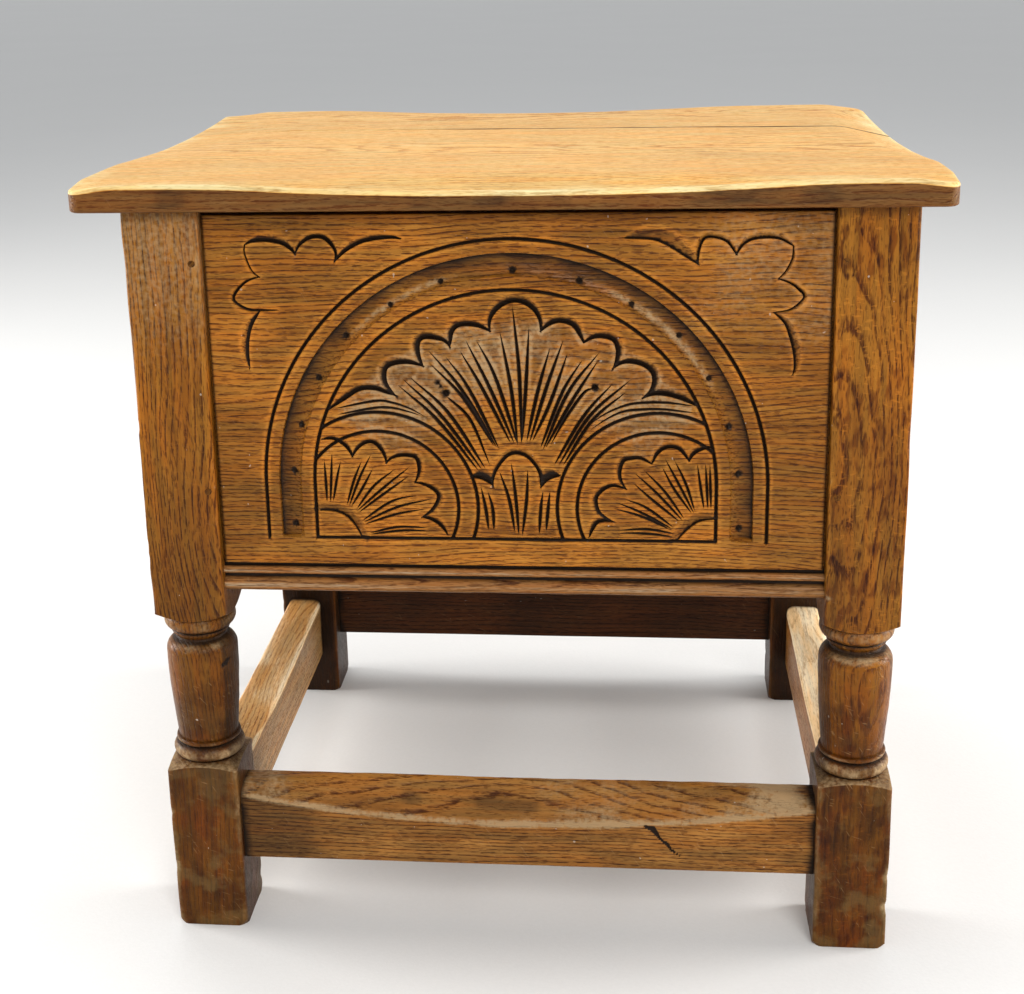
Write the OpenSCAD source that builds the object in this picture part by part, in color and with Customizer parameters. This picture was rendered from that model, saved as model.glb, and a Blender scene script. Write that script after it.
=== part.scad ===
/* [Stand] */
// Width over the legs
stand_w = 480; // [450:1:560]
// Depth over the legs
stand_d = 400; // [340:1:480]
// Side of the square legs
leg_w = 48; // [44:1:56]
// Height of the legs
leg_h = 499; // [480:1:540]
// Chamfer worn along the legs' corners
leg_arris = 1.5; // [0.5:0.1:3]

/* [Turning] */
// Height of the square foot block at the middle of its faces
foot_block_h = 121.5; // [114:0.5:130]
// Height where the upper square block begins
upper_block_z = 227.5; // [215:0.5:240]
// Slope of the foot block's turned shoulder, in mm for each mm
foot_shoulder_slope = 0.35; // [0.1:0.05:0.6]
// Slope of the upper block's turned shoulder, in mm for each mm
upper_shoulder_slope = 0.55; // [0.2:0.05:0.8]
// Easing worn on the feet's bottom corners
foot_ease = 4; // [1:0.5:6]
// Depth of the ring over the foot block below the leg's faces
ring_in = 0.2; // [0.1:0.1:2]
// Radius of the ring's rounded edge
ring_edge_r = 5.4; // [4:0.1:6.5]
// Depth of the thin fillet over the ring below the leg's faces
foot_fillet_in = 2.2; // [1.5:0.1:3.5]
// Depth of the baluster's foot below the leg's faces
baluster_foot_in = 4; // [3:0.1:7]
// Depth of the baluster's shoulder below the leg's faces
baluster_shoulder_in = 0.4; // [0.1:0.1:3]
// Radius of the rounding over the baluster's shoulder
baluster_round_r = 9; // [5:0.1:11]
// Depth of the hollow neck below the leg's faces
neck_in = 7.4; // [6:0.1:10]
// Radius of the hollow neck's curve
neck_curve_r = 2.2; // [1.5:0.1:5]
// Depth of the thin fillet over the neck below the leg's faces
neck_fillet_in = 4.6; // [3:0.1:5.4]
// Radius of the thin fillets' edges
fillet_edge_r = 1.5; // [1:0.1:2]
// Height of the narrow quirks beside the rings
quirk_h = 1.6; // [1:0.1:2.5]
// Depth of the bead below the upper block, from the leg's faces
bead_in = 0.2; // [0.1:0.1:2]
// Radius of the bead's rounded edge
bead_edge_r = 6.4; // [4:0.1:7]

/* [Stretchers] */
// Height of each stretcher, top to bottom
stretcher_h = 54; // [40:1:60]
// Thickness of the front and rear stretchers
stretcher_t = 26; // [20:1:30]
// Thickness of the side stretchers
side_stretcher_t = 28; // [20:1:30]
// Height of the underside of the front and rear stretchers
stretcher_z = 50; // [36:1:56]
// Height of the underside of the side stretchers
side_stretcher_z = 36; // [24:1:50]
// How far the stretchers sit in from the legs' outer faces
stretcher_inset = 6.5; // [4:0.5:9]
// Rounding along the stretchers' top corners
stretcher_round = 4; // [1:0.5:8]
// Depth that feet have worn off the front stretcher's front corner
front_wear = 17; // [4:0.5:22]
// Slope of the worn hollow on the front stretcher, in degrees
front_wear_slope = 41; // [20:1:50]
// Extra wear over the front stretcher's whole length
front_wear_ends = 6; // [0:0.5:10]
// Depth worn off the side stretchers' inner corners
side_wear = 9; // [2:0.5:12]
// Slope of the worn hollow on the side stretchers, in degrees
side_wear_slope = 24; // [10:1:40]

/* [Box] */
// Height of the moulded rails below the panels
rail_h = 20; // [16:0.5:24]
// Height of the rails' underside above the start of the upper block
rail_lift = 20; // [12:0.5:26]
// Thickness of the rails
rail_t = 20; // [16:0.5:24]
// Thickness of the panel boards
panel_t = 16; // [13:0.5:20]
// Gap between the panels' top edges and the lid
panel_gap = 3.8; // [3.4:0.1:6]
// Gap between a panel's ends and the legs
panel_end_gap = 0.8; // [0.2:0.1:1]
// How far panels and rails sit in from the legs' outer faces
panel_inset = 5; // [3:0.5:8]
// Radius of the upper bead on the rails
rail_bead_r = 2.7; // [2:0.1:3.2]
// Height of the grooves above the rails' beads
rail_groove_h = 2.4; // [1.5:0.1:3]
// Depth of the grooves beside the rails' beads
rail_groove_depth = 3.6; // [2:0.1:5]
// Thickness of the bottom boards
bottom_t = 9; // [7:0.5:12]
// Side of the square ledgers that carry the bottom boards
ledger_w = 13; // [10:0.5:13.5]
// Height of the ledgers above the rails' undersides
ledger_rise = 1; // [0:0.5:2]
// Distance of the outer ledger screws from the legs
ledger_screw_end = 60; // [20:5:120]

/* [Carving] */
// Place of the carved arch to the right of the panel's middle
arch_x = -2.5; // [-10:0.5:10]
// Radius of the outer cut line of the carved arch
arch_r = 158; // [150:0.5:160]
// Height of the arch's foot above the panel's lower edge
arch_foot = 18.5; // [12:0.5:24]
// Distance of the arch's crown below the panel's upper edge
arch_crown = 16; // [10:0.5:20]
// Outer radius of the hollow band inside the arch line
band_outer_r = 149.5; // [140:0.5:150]
// Inner radius of the hollow band
band_inner_r = 135; // [130:0.5:138]
// Depth of the hollow band
band_depth = 4; // [2:0.1:6]
// Radius of the inner cut line
inner_line_r = 126.5; // [120:0.5:130]
// Width of the cut lines
line_w = 2.4; // [1:0.1:4]
// Depth of the cut lines
line_depth = 1.8; // [0.5:0.1:3]
// Distance of the corner roundels' centres from the middle of the panel
roundel_x = 88; // [80:0.5:92]
// Height of the roundels' centres above the arch's foot
roundel_rise = 21; // [10:0.5:26]
// Outer radius of the roundels' double line
roundel_outer_r = 63; // [58:0.5:66]
// Inner radius of the roundels' double line
roundel_inner_r = 50.5; // [44:0.5:54]

/* [Joints] */
// Thickness of the stretchers' tenons
tenon_t = 10; // [6:0.5:12]
// Wood left between two tenons that meet inside a leg
tenon_wall = 2; // [1.5:0.1:4]
// Shoulder above and below each stretcher tenon
tenon_shoulder = 7; // [4:0.5:9]
// Shoulder above and below each rail tenon
rail_shoulder = 3; // [2:0.5:4]
// Length of the rails' tenons
rail_tenon_l = 14; // [8:0.5:18]
// Thickness of the tongues and of the rails' tenons
tongue_t = 8; // [5:0.5:9]
// Length of the panels' tongues
tongue_l = 10; // [8.5:0.5:12]
// Play left round tenons and tongues
joint_play = 0.15; // [0.1:0.05:0.3]
// Radius of the pegs
peg_r = 2.5; // [1.5:0.1:2.8]
// Distance of the pegs from a leg's inner edge
peg_edge = 5.5; // [4.5:0.1:6]
// Distance of the upper pegs below the panel's upper edge
peg_drop = 29.5; // [15:0.5:60]
// Distance of the lower pegs above the panel's lower edge
peg_rise = 50.5; // [20:0.5:80]
// Depth that the pegs go beyond the tongues
peg_beyond = 6; // [2:0.5:10]

/* [Lid] */
// Thickness of the lid boards
lid_t = 17; // [14:0.5:22]
// Overhang of the lid past the left legs
over_left = 30; // [15:0.5:40]
// Overhang of the lid past the right legs
over_right = 20; // [15:0.5:40]
// Overhang of the lid past the front legs
over_front = 10; // [5:0.5:30]
// Overhang of the lid past the rear legs
over_back = 5; // [5:0.1:8]
// Play between the lid and the legs' tops
lid_play = 0.3; // [0.2:0.05:0.5]
// Depth of the front board at the left end
joint_left = 277; // [240:1:300]
// Depth of the front board at the right end
joint_right = 260; // [240:1:300]
// Open line between the two lid boards
joint_line = 0.4; // [0.1:0.1:0.9]
// Rounding of the lid's front corners in plan
front_corner_r = 9; // [3:0.5:20]
// Rounding of the lid's back corners in plan
back_corner_r = 20; // [3:0.5:30]
// Width of the battens under the lid
batten_w = 34; // [24:1:44]
// Thickness of the battens
batten_t = 12; // [10:0.5:16]
// Distance of each batten's middle from the nearest leg
batten_from_leg = 52; // [30:1:80]
// Distance of the battens' ends from the box's inner faces
batten_end_gap = 16; // [8:1:40]
// Distance of the outer batten screws from the battens' ends
batten_screw_end = 40; // [15:1:80]

/* [Lid wear] */
// Depth worn off the lid's front edge where it is lowest
front_scoop = 5.8; // [2:0.1:8]
// Slope of the wear along the front edge, in degrees
front_scoop_slope = 9; // [5:0.5:14]
// Half length of the wear along the front edge
front_scoop_l = 185; // [120:5:210]
// Place of the deepest wear of the front edge, right of the middle
front_scoop_x = 10; // [-20:1:20]
// Depth worn off the lid's back edge where it is lowest
back_scoop = 4.2; // [2:0.1:5]
// Slope of the wear along the back edge, in degrees
back_scoop_slope = 6; // [4:0.5:14]
// Half length of the wear along the back edge
back_scoop_l = 160; // [100:5:190]
// Place of the deepest wear of the back edge, right of the middle
back_scoop_x = -5; // [-20:1:20]
// Depth worn off the lid's left edge where it is lowest
left_scoop = 5.2; // [2:0.1:8]
// Slope of the wear along the left edge, in degrees
left_scoop_slope = 4; // [3:0.5:14]
// Half length of the wear along the left edge
left_scoop_l = 153; // [100:1:180]
// Place of the deepest wear of the left edge, behind the middle
left_scoop_y = 42; // [-20:1:60]
// Depth worn off the lid's right edge where it is lowest
right_scoop = 8.5; // [2:0.1:10]
// Slope of the wear along the right edge, in degrees
right_scoop_slope = 13; // [5:0.5:16]
// Half length of the wear along the right edge
right_scoop_l = 199; // [120:1:200]
// Place of the deepest wear of the right edge, behind the middle
right_scoop_y = 58; // [-20:1:60]
// Depth worn off the lid's corners
corner_scoop = 3; // [1:0.1:5]
// Slope of the wear at the corners, in degrees
corner_scoop_slope = 8; // [5:0.5:14]
// Half length of the wear at the corners
corner_scoop_l = 34; // [20:1:50]

/* [Hinges] */
// Length of each hinge
hinge_l = 50; // [40:1:64]
// Distance of each hinge's middle from the nearest leg
hinge_from_leg = 72; // [40:1:100]
// Thickness of the hinge leaves
leaf_t = 1.2; // [1:0.1:1.5]
// Width of the hinge leaves on the wood
leaf_w = 13; // [11:0.5:13]
// Outer radius of the hinge knuckles
knuckle_r = 2.3; // [2:0.1:2.6]
// Radius of the hinge pins
hinge_pin_r = 1.2; // [0.9:0.1:1.4]
// Running play of the pin in the lid leaf's knuckles
pin_play = 0.05; // [0.02:0.01:0.1]
// Gap between neighbouring knuckles
knuckle_gap = 0.3; // [0.2:0.05:0.5]

/* [Screws] */
// Radius of the hinge screws' shanks
hinge_screw_r = 1.4; // [1:0.1:1.6]
// Distance of the outer hinge screws from the hinges' ends
hinge_screw_end = 8; // [5:0.5:10]
// Length of the hinge screws
hinge_screw_l = 9.5; // [7:0.5:9.5]
// Radius of the shanks of the screws in battens and ledgers
screw_r = 1.9; // [1.5:0.1:2.4]
// Depth that the screws in battens and ledgers bite past them
screw_bite = 9; // [6:0.5:10]

/* [Hidden] */
$fn = 96;

// Colours of the woods and the brass
oak_leg = [0.40, 0.24, 0.11];
oak_panel = [0.44, 0.25, 0.11];
oak_top = [0.72, 0.50, 0.27];
oak_dark = [0.20, 0.10, 0.05];
oak_pale = [0.62, 0.45, 0.27];
brass = [0.66, 0.52, 0.26];
steel = [0.45, 0.44, 0.42];

// The origin lies on the floor below the middle of the lid
lid_w = over_left + stand_w + over_right;
lid_d = over_front + stand_d + over_back;
stand_x = (over_left - over_right) / 2;
stand_y = (over_front - over_back) / 2;
half_w = stand_w / 2;
half_d = stand_d / 2;
span_w = stand_w - 2 * leg_w;
span_d = stand_d - 2 * leg_w;
overlap = 0.5;

// Steps in the curve of the baluster
baluster_steps = 12;

// Heights up the box
rail_z = upper_block_z + rail_lift;
rail_top = rail_z + rail_h;
panel_top = leg_h + lid_play - panel_gap;
panel_h = panel_top - rail_top;
lid_z = leg_h + lid_play;
lid_top = lid_z + lid_t;
peg_heights = [panel_top - peg_drop, rail_top + peg_rise];
peg_play = 0.02;
function peg_length(inset) = inset + (panel_t + tongue_t) / 2 + peg_beyond;

// The line where the two lid boards meet, from the left end to the right end
joint_left_y = joint_left - lid_d / 2;
joint_right_y = joint_right - lid_d / 2;

// Tenons stop short of each other inside the legs
front_tenon_l = leg_w - stretcher_inset - (side_stretcher_t + tenon_t) / 2 - tenon_wall;
side_tenon_l = leg_w - stretcher_inset - (stretcher_t + tenon_t) / 2 - tenon_wall;
tenon_h = stretcher_h - 2 * tenon_shoulder;
rail_tenon_h = rail_h - 2 * rail_shoulder;
end_play = 0.5;

// Ledgers and bottom boards inside the rails
ledger_z = rail_z + ledger_rise;
bottom_z = ledger_z + ledger_w;
bottom_play = 0.5;
wall_t = max(rail_t, panel_t);
bottom_w = stand_w - 2 * (panel_inset + wall_t + bottom_play);
bottom_d = stand_d - panel_inset - 2 * (wall_t + bottom_play);
bottom_seam = 1;
board_w = (bottom_w - 2 * bottom_seam) / 3;

// The arch springs from stilts on its foot line
arch_z = rail_top + arch_foot;
arch_spring = panel_top - arch_crown - arch_r;

// The hinges' axis lies behind the rear legs, midway between the leaves
hinge_play = 0.3;
hinge_x = span_w / 2 - hinge_from_leg;
hinge_y = half_d + knuckle_r + hinge_play;
hinge_z = (panel_top + lid_z) / 2;
knuckles = 5;
knuckle_l = hinge_l / knuckles;
hinge_screw_x = hinge_l / 2 - hinge_screw_end;
screw_play = 0.02;
hinge_head_r = hinge_screw_r + leaf_t;
relief_play = 0.3;

// Screws of the battens and ledgers
screw_head_r = screw_r * 2;
ledger_screw_l = ledger_w + screw_bite;
batten_screw_l = batten_t + screw_bite;
batten_l = stand_d - panel_inset - 2 * panel_t - 2 * batten_end_gap;
batten_x = span_w / 2 - batten_from_leg;
batten_y = panel_inset / 2;
batten_screw_y = batten_l / 2 - batten_screw_end;
ledger_screw_x = span_w / 2 - ledger_screw_end;

// The stand sits to the right of, and behind, the middle of the lid
module in_stand() {
    translate([stand_x, stand_y, 0]) children();
}

// Half section of a disc of radius r with a rounded edge, middled on height z
module roll(r, edge_r, z) {
    translate([r - edge_r, z]) circle(r = edge_r);
    translate([0, z - edge_r]) square([r - edge_r, 2 * edge_r]);
}

// Half profile that the lathe leaves on a leg: radius to the right, height up
module leg_profile() {
    half = leg_w / 2;
    blank_r = half * sqrt(2) + overlap;
    shoulder_r = half - baluster_shoulder_in;
    foot_r = half - baluster_foot_in;
    neck_r = half - neck_in;
    flat_r = max(neck_r, shoulder_r - baluster_round_r);
    // Heights upwards from the foot block
    ring_z = foot_block_h + quirk_h + ring_edge_r;
    foot_fillet_z = ring_z + ring_edge_r + quirk_h / 2 + fillet_edge_r;
    foot_z = foot_fillet_z + fillet_edge_r + quirk_h / 2;
    // Heights downwards from the upper block
    bead_z = upper_block_z + quirk_h - bead_edge_r;
    neck_fillet_z = bead_z - bead_edge_r - fillet_edge_r;
    neck_z = neck_fillet_z - fillet_edge_r - neck_curve_r;
    shoulder_z = neck_z - neck_curve_r - baluster_round_r + quirk_h / 2;
    // Foot block with its eased bottom and its shoulder
    polygon([
        [0, 0], [blank_r - foot_ease, 0], [blank_r, foot_ease],
        [blank_r, foot_block_h - foot_shoulder_slope * (blank_r - half)],
        [0, foot_block_h + foot_shoulder_slope * half],
    ]);
    // Upper block
    polygon([
        [0, upper_block_z - upper_shoulder_slope * half],
        [blank_r, upper_block_z + upper_shoulder_slope * (blank_r - half)],
        [blank_r, leg_h], [0, leg_h],
    ]);
    // Core between the blocks, with the hollow neck cut into it
    difference() {
        translate([0, foot_block_h]) square([foot_r, upper_block_z - foot_block_h]);
        translate([neck_r + neck_curve_r, neck_z]) circle(r = neck_curve_r);
        translate([neck_r, neck_z]) square([half, neck_fillet_z - neck_z]);
        translate([flat_r, shoulder_z]) square([half, neck_z - shoulder_z]);
        translate([half - neck_fillet_in - fillet_edge_r, neck_fillet_z])
            square([half, upper_block_z - neck_fillet_z]);
    }
    roll(half - ring_in, ring_edge_r, ring_z);
    roll(half - foot_fillet_in, fillet_edge_r, foot_fillet_z);
    roll(half - neck_fillet_in, fillet_edge_r, neck_fillet_z);
    roll(half - bead_in, bead_edge_r, bead_z);
    // Baluster that swells towards its rounded shoulder
    polygon(concat(
        [[0, foot_z]],
        [for (i = [0:baluster_steps])
            let (t = i / baluster_steps)
            [foot_r + (shoulder_r - foot_r) * sin(90 * t), foot_z + (shoulder_z - foot_z) * t]],
        [[0, shoulder_z]]
    ));
    roll(shoulder_r, baluster_round_r, shoulder_z);
}

// Square blank with its corners chamfered
module leg_section() {
    a = leg_arris;
    w = leg_w;
    polygon([[a, 0], [w - a, 0], [w, a], [w, w - a], [w - a, w], [a, w], [0, w - a], [0, a]]);
}

// Slot for a tenon: depth along X from the leg's inner face
module leg_slot(inset, thick, slot_t, depth, z0, z1) {
    translate([leg_w - depth, inset + (thick - slot_t) / 2 - joint_play, z0])
        cube([depth + overlap, slot_t + 2 * joint_play, z1 - z0]);
}

// Swaps X and Y, for what a leg has on its other inner face
module swap_faces() {
    mirror([1, -1, 0]) children();
}

// Peg holes in from a leg's outer face at Y = 0
module leg_peg_holes(inset) {
    for (z = peg_heights)
        translate([leg_w - peg_edge, -overlap, z])
            rotate([-90, 0, 0]) cylinder(r = peg_r, h = peg_length(inset) + overlap);
}

// A leg whose outer corner is at the origin, with its joints for front or rear
module leg(front) {
    inset = front ? panel_inset : 0;
    rail_tenon_z = rail_z + (rail_h - rail_tenon_h) / 2;
    color(oak_leg) difference() {
        intersection() {
            translate([leg_w / 2, leg_w / 2, 0]) rotate_extrude() leg_profile();
            linear_extrude(leg_h) leg_section();
        }
        // Long grooves for the panels, open at the top
        leg_slot(inset, panel_t, tongue_t, tongue_l + end_play, rail_top, leg_h + overlap);
        swap_faces()
            leg_slot(panel_inset, panel_t, tongue_t, tongue_l + end_play, rail_top, leg_h + overlap);
        // Mortises for the rails
        leg_slot(inset, rail_t, tongue_t, rail_tenon_l + end_play,
            rail_tenon_z - joint_play, rail_tenon_z + rail_tenon_h + joint_play);
        swap_faces() leg_slot(panel_inset, rail_t, tongue_t, rail_tenon_l + end_play,
            rail_tenon_z - joint_play, rail_tenon_z + rail_tenon_h + joint_play);
        // Mortises for the stretchers
        leg_slot(stretcher_inset, stretcher_t, tenon_t, front_tenon_l + end_play,
            stretcher_z + tenon_shoulder - joint_play,
            stretcher_z + tenon_shoulder + tenon_h + joint_play);
        swap_faces() leg_slot(stretcher_inset, side_stretcher_t, tenon_t, side_tenon_l + end_play,
            side_stretcher_z + tenon_shoulder - joint_play,
            side_stretcher_z + tenon_shoulder + tenon_h + joint_play);
        leg_peg_holes(inset);
        swap_faces() leg_peg_holes(panel_inset);
    }
}

// Puts a leg's corner at a corner of the stand; sx and sy are -1 or 1
module leg_at(sx, sy) {
    in_stand() translate([sx * half_w, sy * half_d, 0])
        mirror([sx > 0 ? 1 : 0, 0, 0]) mirror([0, sy > 0 ? 1 : 0, 0]) leg(sy < 0);
}

module leg_front_left() { leg_at(-1, -1); }
module leg_front_right() { leg_at(1, -1); }
module leg_rear_left() { leg_at(-1, 1); }
module leg_rear_right() { leg_at(1, 1); }

// Cutter for a worn hollow on a top corner that runs along X at Y = 0 and Z = 0.
// The hollow is deepest in the middle and slopes down towards -Y.
module worn_hollow(half_l, depth, slope, reach) {
    fall = depth * cos(slope);
    r = half_l * half_l / (2 * fall) + fall / 2;
    translate([0, 0, -depth]) rotate([slope, 0, 0]) translate([0, 0, r])
        rotate([90, 0, 0]) cylinder(r = r, h = 2 * reach, center = true, $fn = 180);
}

// Turns what is built along X with its outer face at Y = 0 to the left or right side
module to_side(side, inset) {
    in_stand() translate([side * (half_w - inset), 0, 0])
        rotate([0, 0, 90]) mirror([0, side < 0 ? 1 : 0, 0]) children();
}

module to_front(inset) {
    in_stand() translate([0, inset - half_d, 0]) children();
}

module to_back(inset) {
    in_stand() translate([0, half_d - inset, 0]) mirror([0, 1, 0]) children();
}

// Section of a stretcher with rounded top corners, front face at X = 0
module stretcher_section(thick) {
    r = stretcher_round;
    difference() {
        square([thick, stretcher_h]);
        for (side = [0, 1]) translate([side * thick, stretcher_h]) mirror([side, 0])
            difference() {
                translate([-overlap, -r]) square([r + overlap, r + overlap]);
                translate([r, -r]) circle(r = r);
            }
    }
}

// A stretcher along X with its front face at Y = 0 and its underside at Z = 0.
// What is handed to it is cut from the bar, and not from the tenons.
module stretcher(span, thick, tenon_l) {
    difference() {
        translate([-span / 2, 0, 0]) rotate([90, 0, 90])
            linear_extrude(span) stretcher_section(thick);
        children();
    }
    for (side = [0, 1]) mirror([side, 0, 0])
        translate([span / 2 - overlap, (thick - tenon_t) / 2, tenon_shoulder])
            cube([tenon_l + overlap, tenon_t, tenon_h]);
}

module stretcher_front() {
    color(oak_pale) to_front(stretcher_inset) translate([0, 0, stretcher_z])
        stretcher(span_w, stretcher_t, front_tenon_l)
            translate([0, 0, stretcher_h - front_wear_ends])
                worn_hollow(span_w / 2, front_wear, front_wear_slope, 2 * stretcher_t);
}

module stretcher_rear() {
    color(oak_dark) to_back(stretcher_inset) translate([0, 0, stretcher_z])
        stretcher(span_w, stretcher_t, front_tenon_l);
}

// A side stretcher, worn on its inner corner; side is -1 or 1
module side_stretcher(side) {
    color(oak_pale) to_side(side, stretcher_inset) translate([0, 0, side_stretcher_z])
        stretcher(span_d, side_stretcher_t, side_tenon_l)
            translate([0, side_stretcher_t, stretcher_h]) mirror([0, 1, 0])
                worn_hollow(span_d / 2, side_wear, side_wear_slope, 2 * side_stretcher_t);
}

module stretcher_left() { side_stretcher(-1); }
module stretcher_right() { side_stretcher(1); }

// Section of a rail: two beads on its outer face, which is at X = 0
module rail_section() {
    upper_z = rail_h - rail_groove_h - rail_bead_r;
    lower_r = (upper_z - rail_bead_r - rail_groove_h) / 2;
    translate([rail_groove_depth, 0]) square([rail_t - rail_groove_depth, rail_h]);
    bead(rail_bead_r, upper_z);
    bead(lower_r, lower_r);
}

// Half-round bead whose crown is at X = 0
module bead(r, z) {
    translate([r, z]) circle(r = r);
    translate([r, z - r]) square([rail_groove_depth, 2 * r]);
}

// A rail along X, outer face at Y = 0, underside at Z = 0, with its tenons
module rail(span) {
    translate([-span / 2, 0, 0]) rotate([90, 0, 90]) linear_extrude(span) rail_section();
    for (side = [0, 1]) mirror([side, 0, 0])
        translate([span / 2 - overlap, (rail_t - tongue_t) / 2, (rail_h - rail_tenon_h) / 2])
            cube([rail_tenon_l + overlap, tongue_t, rail_tenon_h]);
}

// A rail with the holes that the screws of its ledger go into
module ledger_rail() {
    difference() {
        translate([0, 0, rail_z]) rail(span_w);
        at_ledger_screws() screw_hole(screw_r, screw_head_r, ledger_screw_l);
    }
}

module front_rail() {
    color(oak_leg) to_front(panel_inset) ledger_rail();
}

module back_rail() {
    color(oak_leg) to_back(0) ledger_rail();
}

module side_rail_left() {
    color(oak_leg) to_side(-1, panel_inset) translate([0, 0, rail_z]) rail(span_d);
}

module side_rail_right() {
    color(oak_leg) to_side(1, panel_inset) translate([0, 0, rail_z]) rail(span_d);
}

// A panel board along X with its outer face at Y = 0, its tongues and its peg holes
module panel(span, inset) {
    board = span - 2 * panel_end_gap;
    difference() {
        union() {
            translate([-board / 2, 0, rail_top]) cube([board, panel_t, panel_h]);
            translate([-span / 2 - tongue_l, (panel_t - tongue_t) / 2, rail_top])
                cube([span + 2 * tongue_l, tongue_t, panel_h]);
        }
        for (side = [-1, 1], z = peg_heights)
            translate([side * (span / 2 + peg_edge), -inset - overlap, z])
                rotate([-90, 0, 0]) cylinder(r = peg_r, h = peg_length(inset) + overlap);
    }
}

// A V-shaped cut line along a stilted arch, on a face at Y = 0
module arch_line(r, spring, foot, w, depth) {
    translate([0, 0, spring]) rotate([-90, 0, 0]) mirror([0, 1, 0])
        rotate_extrude(angle = 180) translate([r, 0]) line_section(w, depth);
    for (side = [-1, 1]) translate([side * r, 0, foot])
        linear_extrude(spring - foot) line_section(w, depth);
}

module line_section(w, depth) {
    polygon([[-w / 2, 0], [0, depth], [w / 2, 0], [w / 2, -1], [-w / 2, -1]]);
}

// Section of the hollow band: a slice of a circle as deep as the band
module band_section() {
    half = (band_outer_r - band_inner_r) / 2;
    r = (half * half + band_depth * band_depth) / (2 * band_depth);
    translate([0, band_depth - r]) circle(r = r);
}

// The field inside the arch's inner line and above its foot line
module arch_field() {
    difference() {
        union() {
            translate([0, arch_spring]) circle(r = inner_line_r);
            translate([-inner_line_r, arch_z]) square([2 * inner_line_r, arch_spring - arch_z]);
        }
        translate([-inner_line_r, arch_z - inner_line_r]) square([2 * inner_line_r, inner_line_r]);
    }
}

// The carved arch: cut line, hollow band, inner line and foot line
module carved_arch() {
    band_mid = (band_outer_r + band_inner_r) / 2;
    arch_line(arch_r, arch_spring, arch_z, line_w, line_depth);
    arch_line(inner_line_r, arch_spring, arch_z, line_w, line_depth);
    translate([0, 0, arch_spring]) rotate([-90, 0, 0]) mirror([0, 1, 0])
        rotate_extrude(angle = 180) translate([band_mid, 0]) band_section();
    for (side = [-1, 1]) translate([side * band_mid, 0, arch_z])
        linear_extrude(arch_spring - arch_z) band_section();
    translate([-inner_line_r, 0, arch_z]) rotate([0, 90, 0])
        linear_extrude(2 * inner_line_r) line_section(line_w, line_depth);
}

// Double lines of the two roundels, which end at the arch's inner line and foot line
module roundel_lines() {
    intersection() {
        for (side = [-1, 1], r = [roundel_inner_r, roundel_outer_r])
            translate([side * roundel_x - arch_x, 0, arch_z + roundel_rise]) rotate([-90, 0, 0])
                rotate_extrude() translate([r, 0]) line_section(line_w, line_depth);
        rotate([90, 0, 0]) linear_extrude(2 * panel_t, center = true) arch_field();
    }
}

module front_panel() {
    color(oak_panel) to_front(panel_inset) difference() {
        panel(span_w, panel_inset);
        translate([arch_x, 0, 0]) {
            carved_arch();
            roundel_lines();
        }
    }
}

module back_panel() {
    color(oak_panel) to_back(0) difference() {
        panel(span_w, 0);
        // Holes for the hinge screws
        for (side = [-1, 1]) translate([side * hinge_x, half_d, 0]) mirror([0, 1, 0])
            at_box_leaf_screws() screw_hole(hinge_screw_r, hinge_head_r, hinge_screw_l);
    }
}

module side_panel_left() {
    color(oak_panel) to_side(-1, panel_inset) panel(span_d, panel_inset);
}

module side_panel_right() {
    color(oak_panel) to_side(1, panel_inset) panel(span_d, panel_inset);
}

// The four pegs that pin one panel's tongues; outer face of the panel at Y = 0
module peg_set(span, inset) {
    for (side = [-1, 1], z = peg_heights)
        translate([side * (span / 2 + peg_edge), -inset, z])
            rotate([-90, 0, 0]) cylinder(r = peg_r - peg_play, h = peg_length(inset));
}

module pegs_front() {
    color(oak_dark) to_front(panel_inset) peg_set(span_w, panel_inset);
}

module pegs_back() {
    color(oak_dark) to_back(0) peg_set(span_w, 0);
}

module pegs_left() {
    color(oak_dark) to_side(-1, panel_inset) peg_set(span_d, panel_inset);
}

module pegs_right() {
    color(oak_dark) to_side(1, panel_inset) peg_set(span_d, panel_inset);
}

// A countersunk wood screw with its head flush at Z = 0 and its point below
module wood_screw(r, head_r, l) {
    head_h = head_r - r;
    point_h = 2 * r;
    translate([0, 0, -head_h]) cylinder(r1 = r, r2 = head_r, h = head_h);
    translate([0, 0, point_h - l]) cylinder(r = r, h = l - point_h - head_h);
    translate([0, 0, -l]) cylinder(r1 = r / 5, r2 = r, h = point_h);
}

// The hole that such a screw sits in
module screw_hole(r, head_r, l) {
    head_h = head_r - r;
    translate([0, 0, -head_h]) cylinder(r1 = r + screw_play, r2 = head_r + screw_play, h = head_h);
    translate([0, 0, -screw_play]) cylinder(r = head_r + screw_play, h = overlap);
    translate([0, 0, -l - screw_play]) cylinder(r = r + screw_play, h = l);
}

// Where the screws of the front and back ledgers go; up is out of the ledger's inner face
module at_ledger_screws() {
    for (x = [-ledger_screw_x, 0, ledger_screw_x])
        translate([x, rail_t + ledger_w, ledger_z + ledger_w / 2])
            rotate([-90, 0, 0]) children();
}

// A ledger along X behind a rail whose outer face is at Y = 0
module ledger() {
    difference() {
        translate([end_play - span_w / 2, rail_t, ledger_z])
            cube([span_w - 2 * end_play, ledger_w, ledger_w]);
        at_ledger_screws() screw_hole(screw_r, screw_head_r, ledger_screw_l);
    }
}

module ledger_front() {
    color(oak_dark) to_front(panel_inset) ledger();
}

module ledger_back() {
    color(oak_dark) to_back(0) ledger();
}

module ledger_screws() {
    color(steel) {
        to_front(panel_inset) at_ledger_screws()
            wood_screw(screw_r, screw_head_r, ledger_screw_l);
        to_back(0) at_ledger_screws()
            wood_screw(screw_r, screw_head_r, ledger_screw_l);
    }
}

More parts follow.
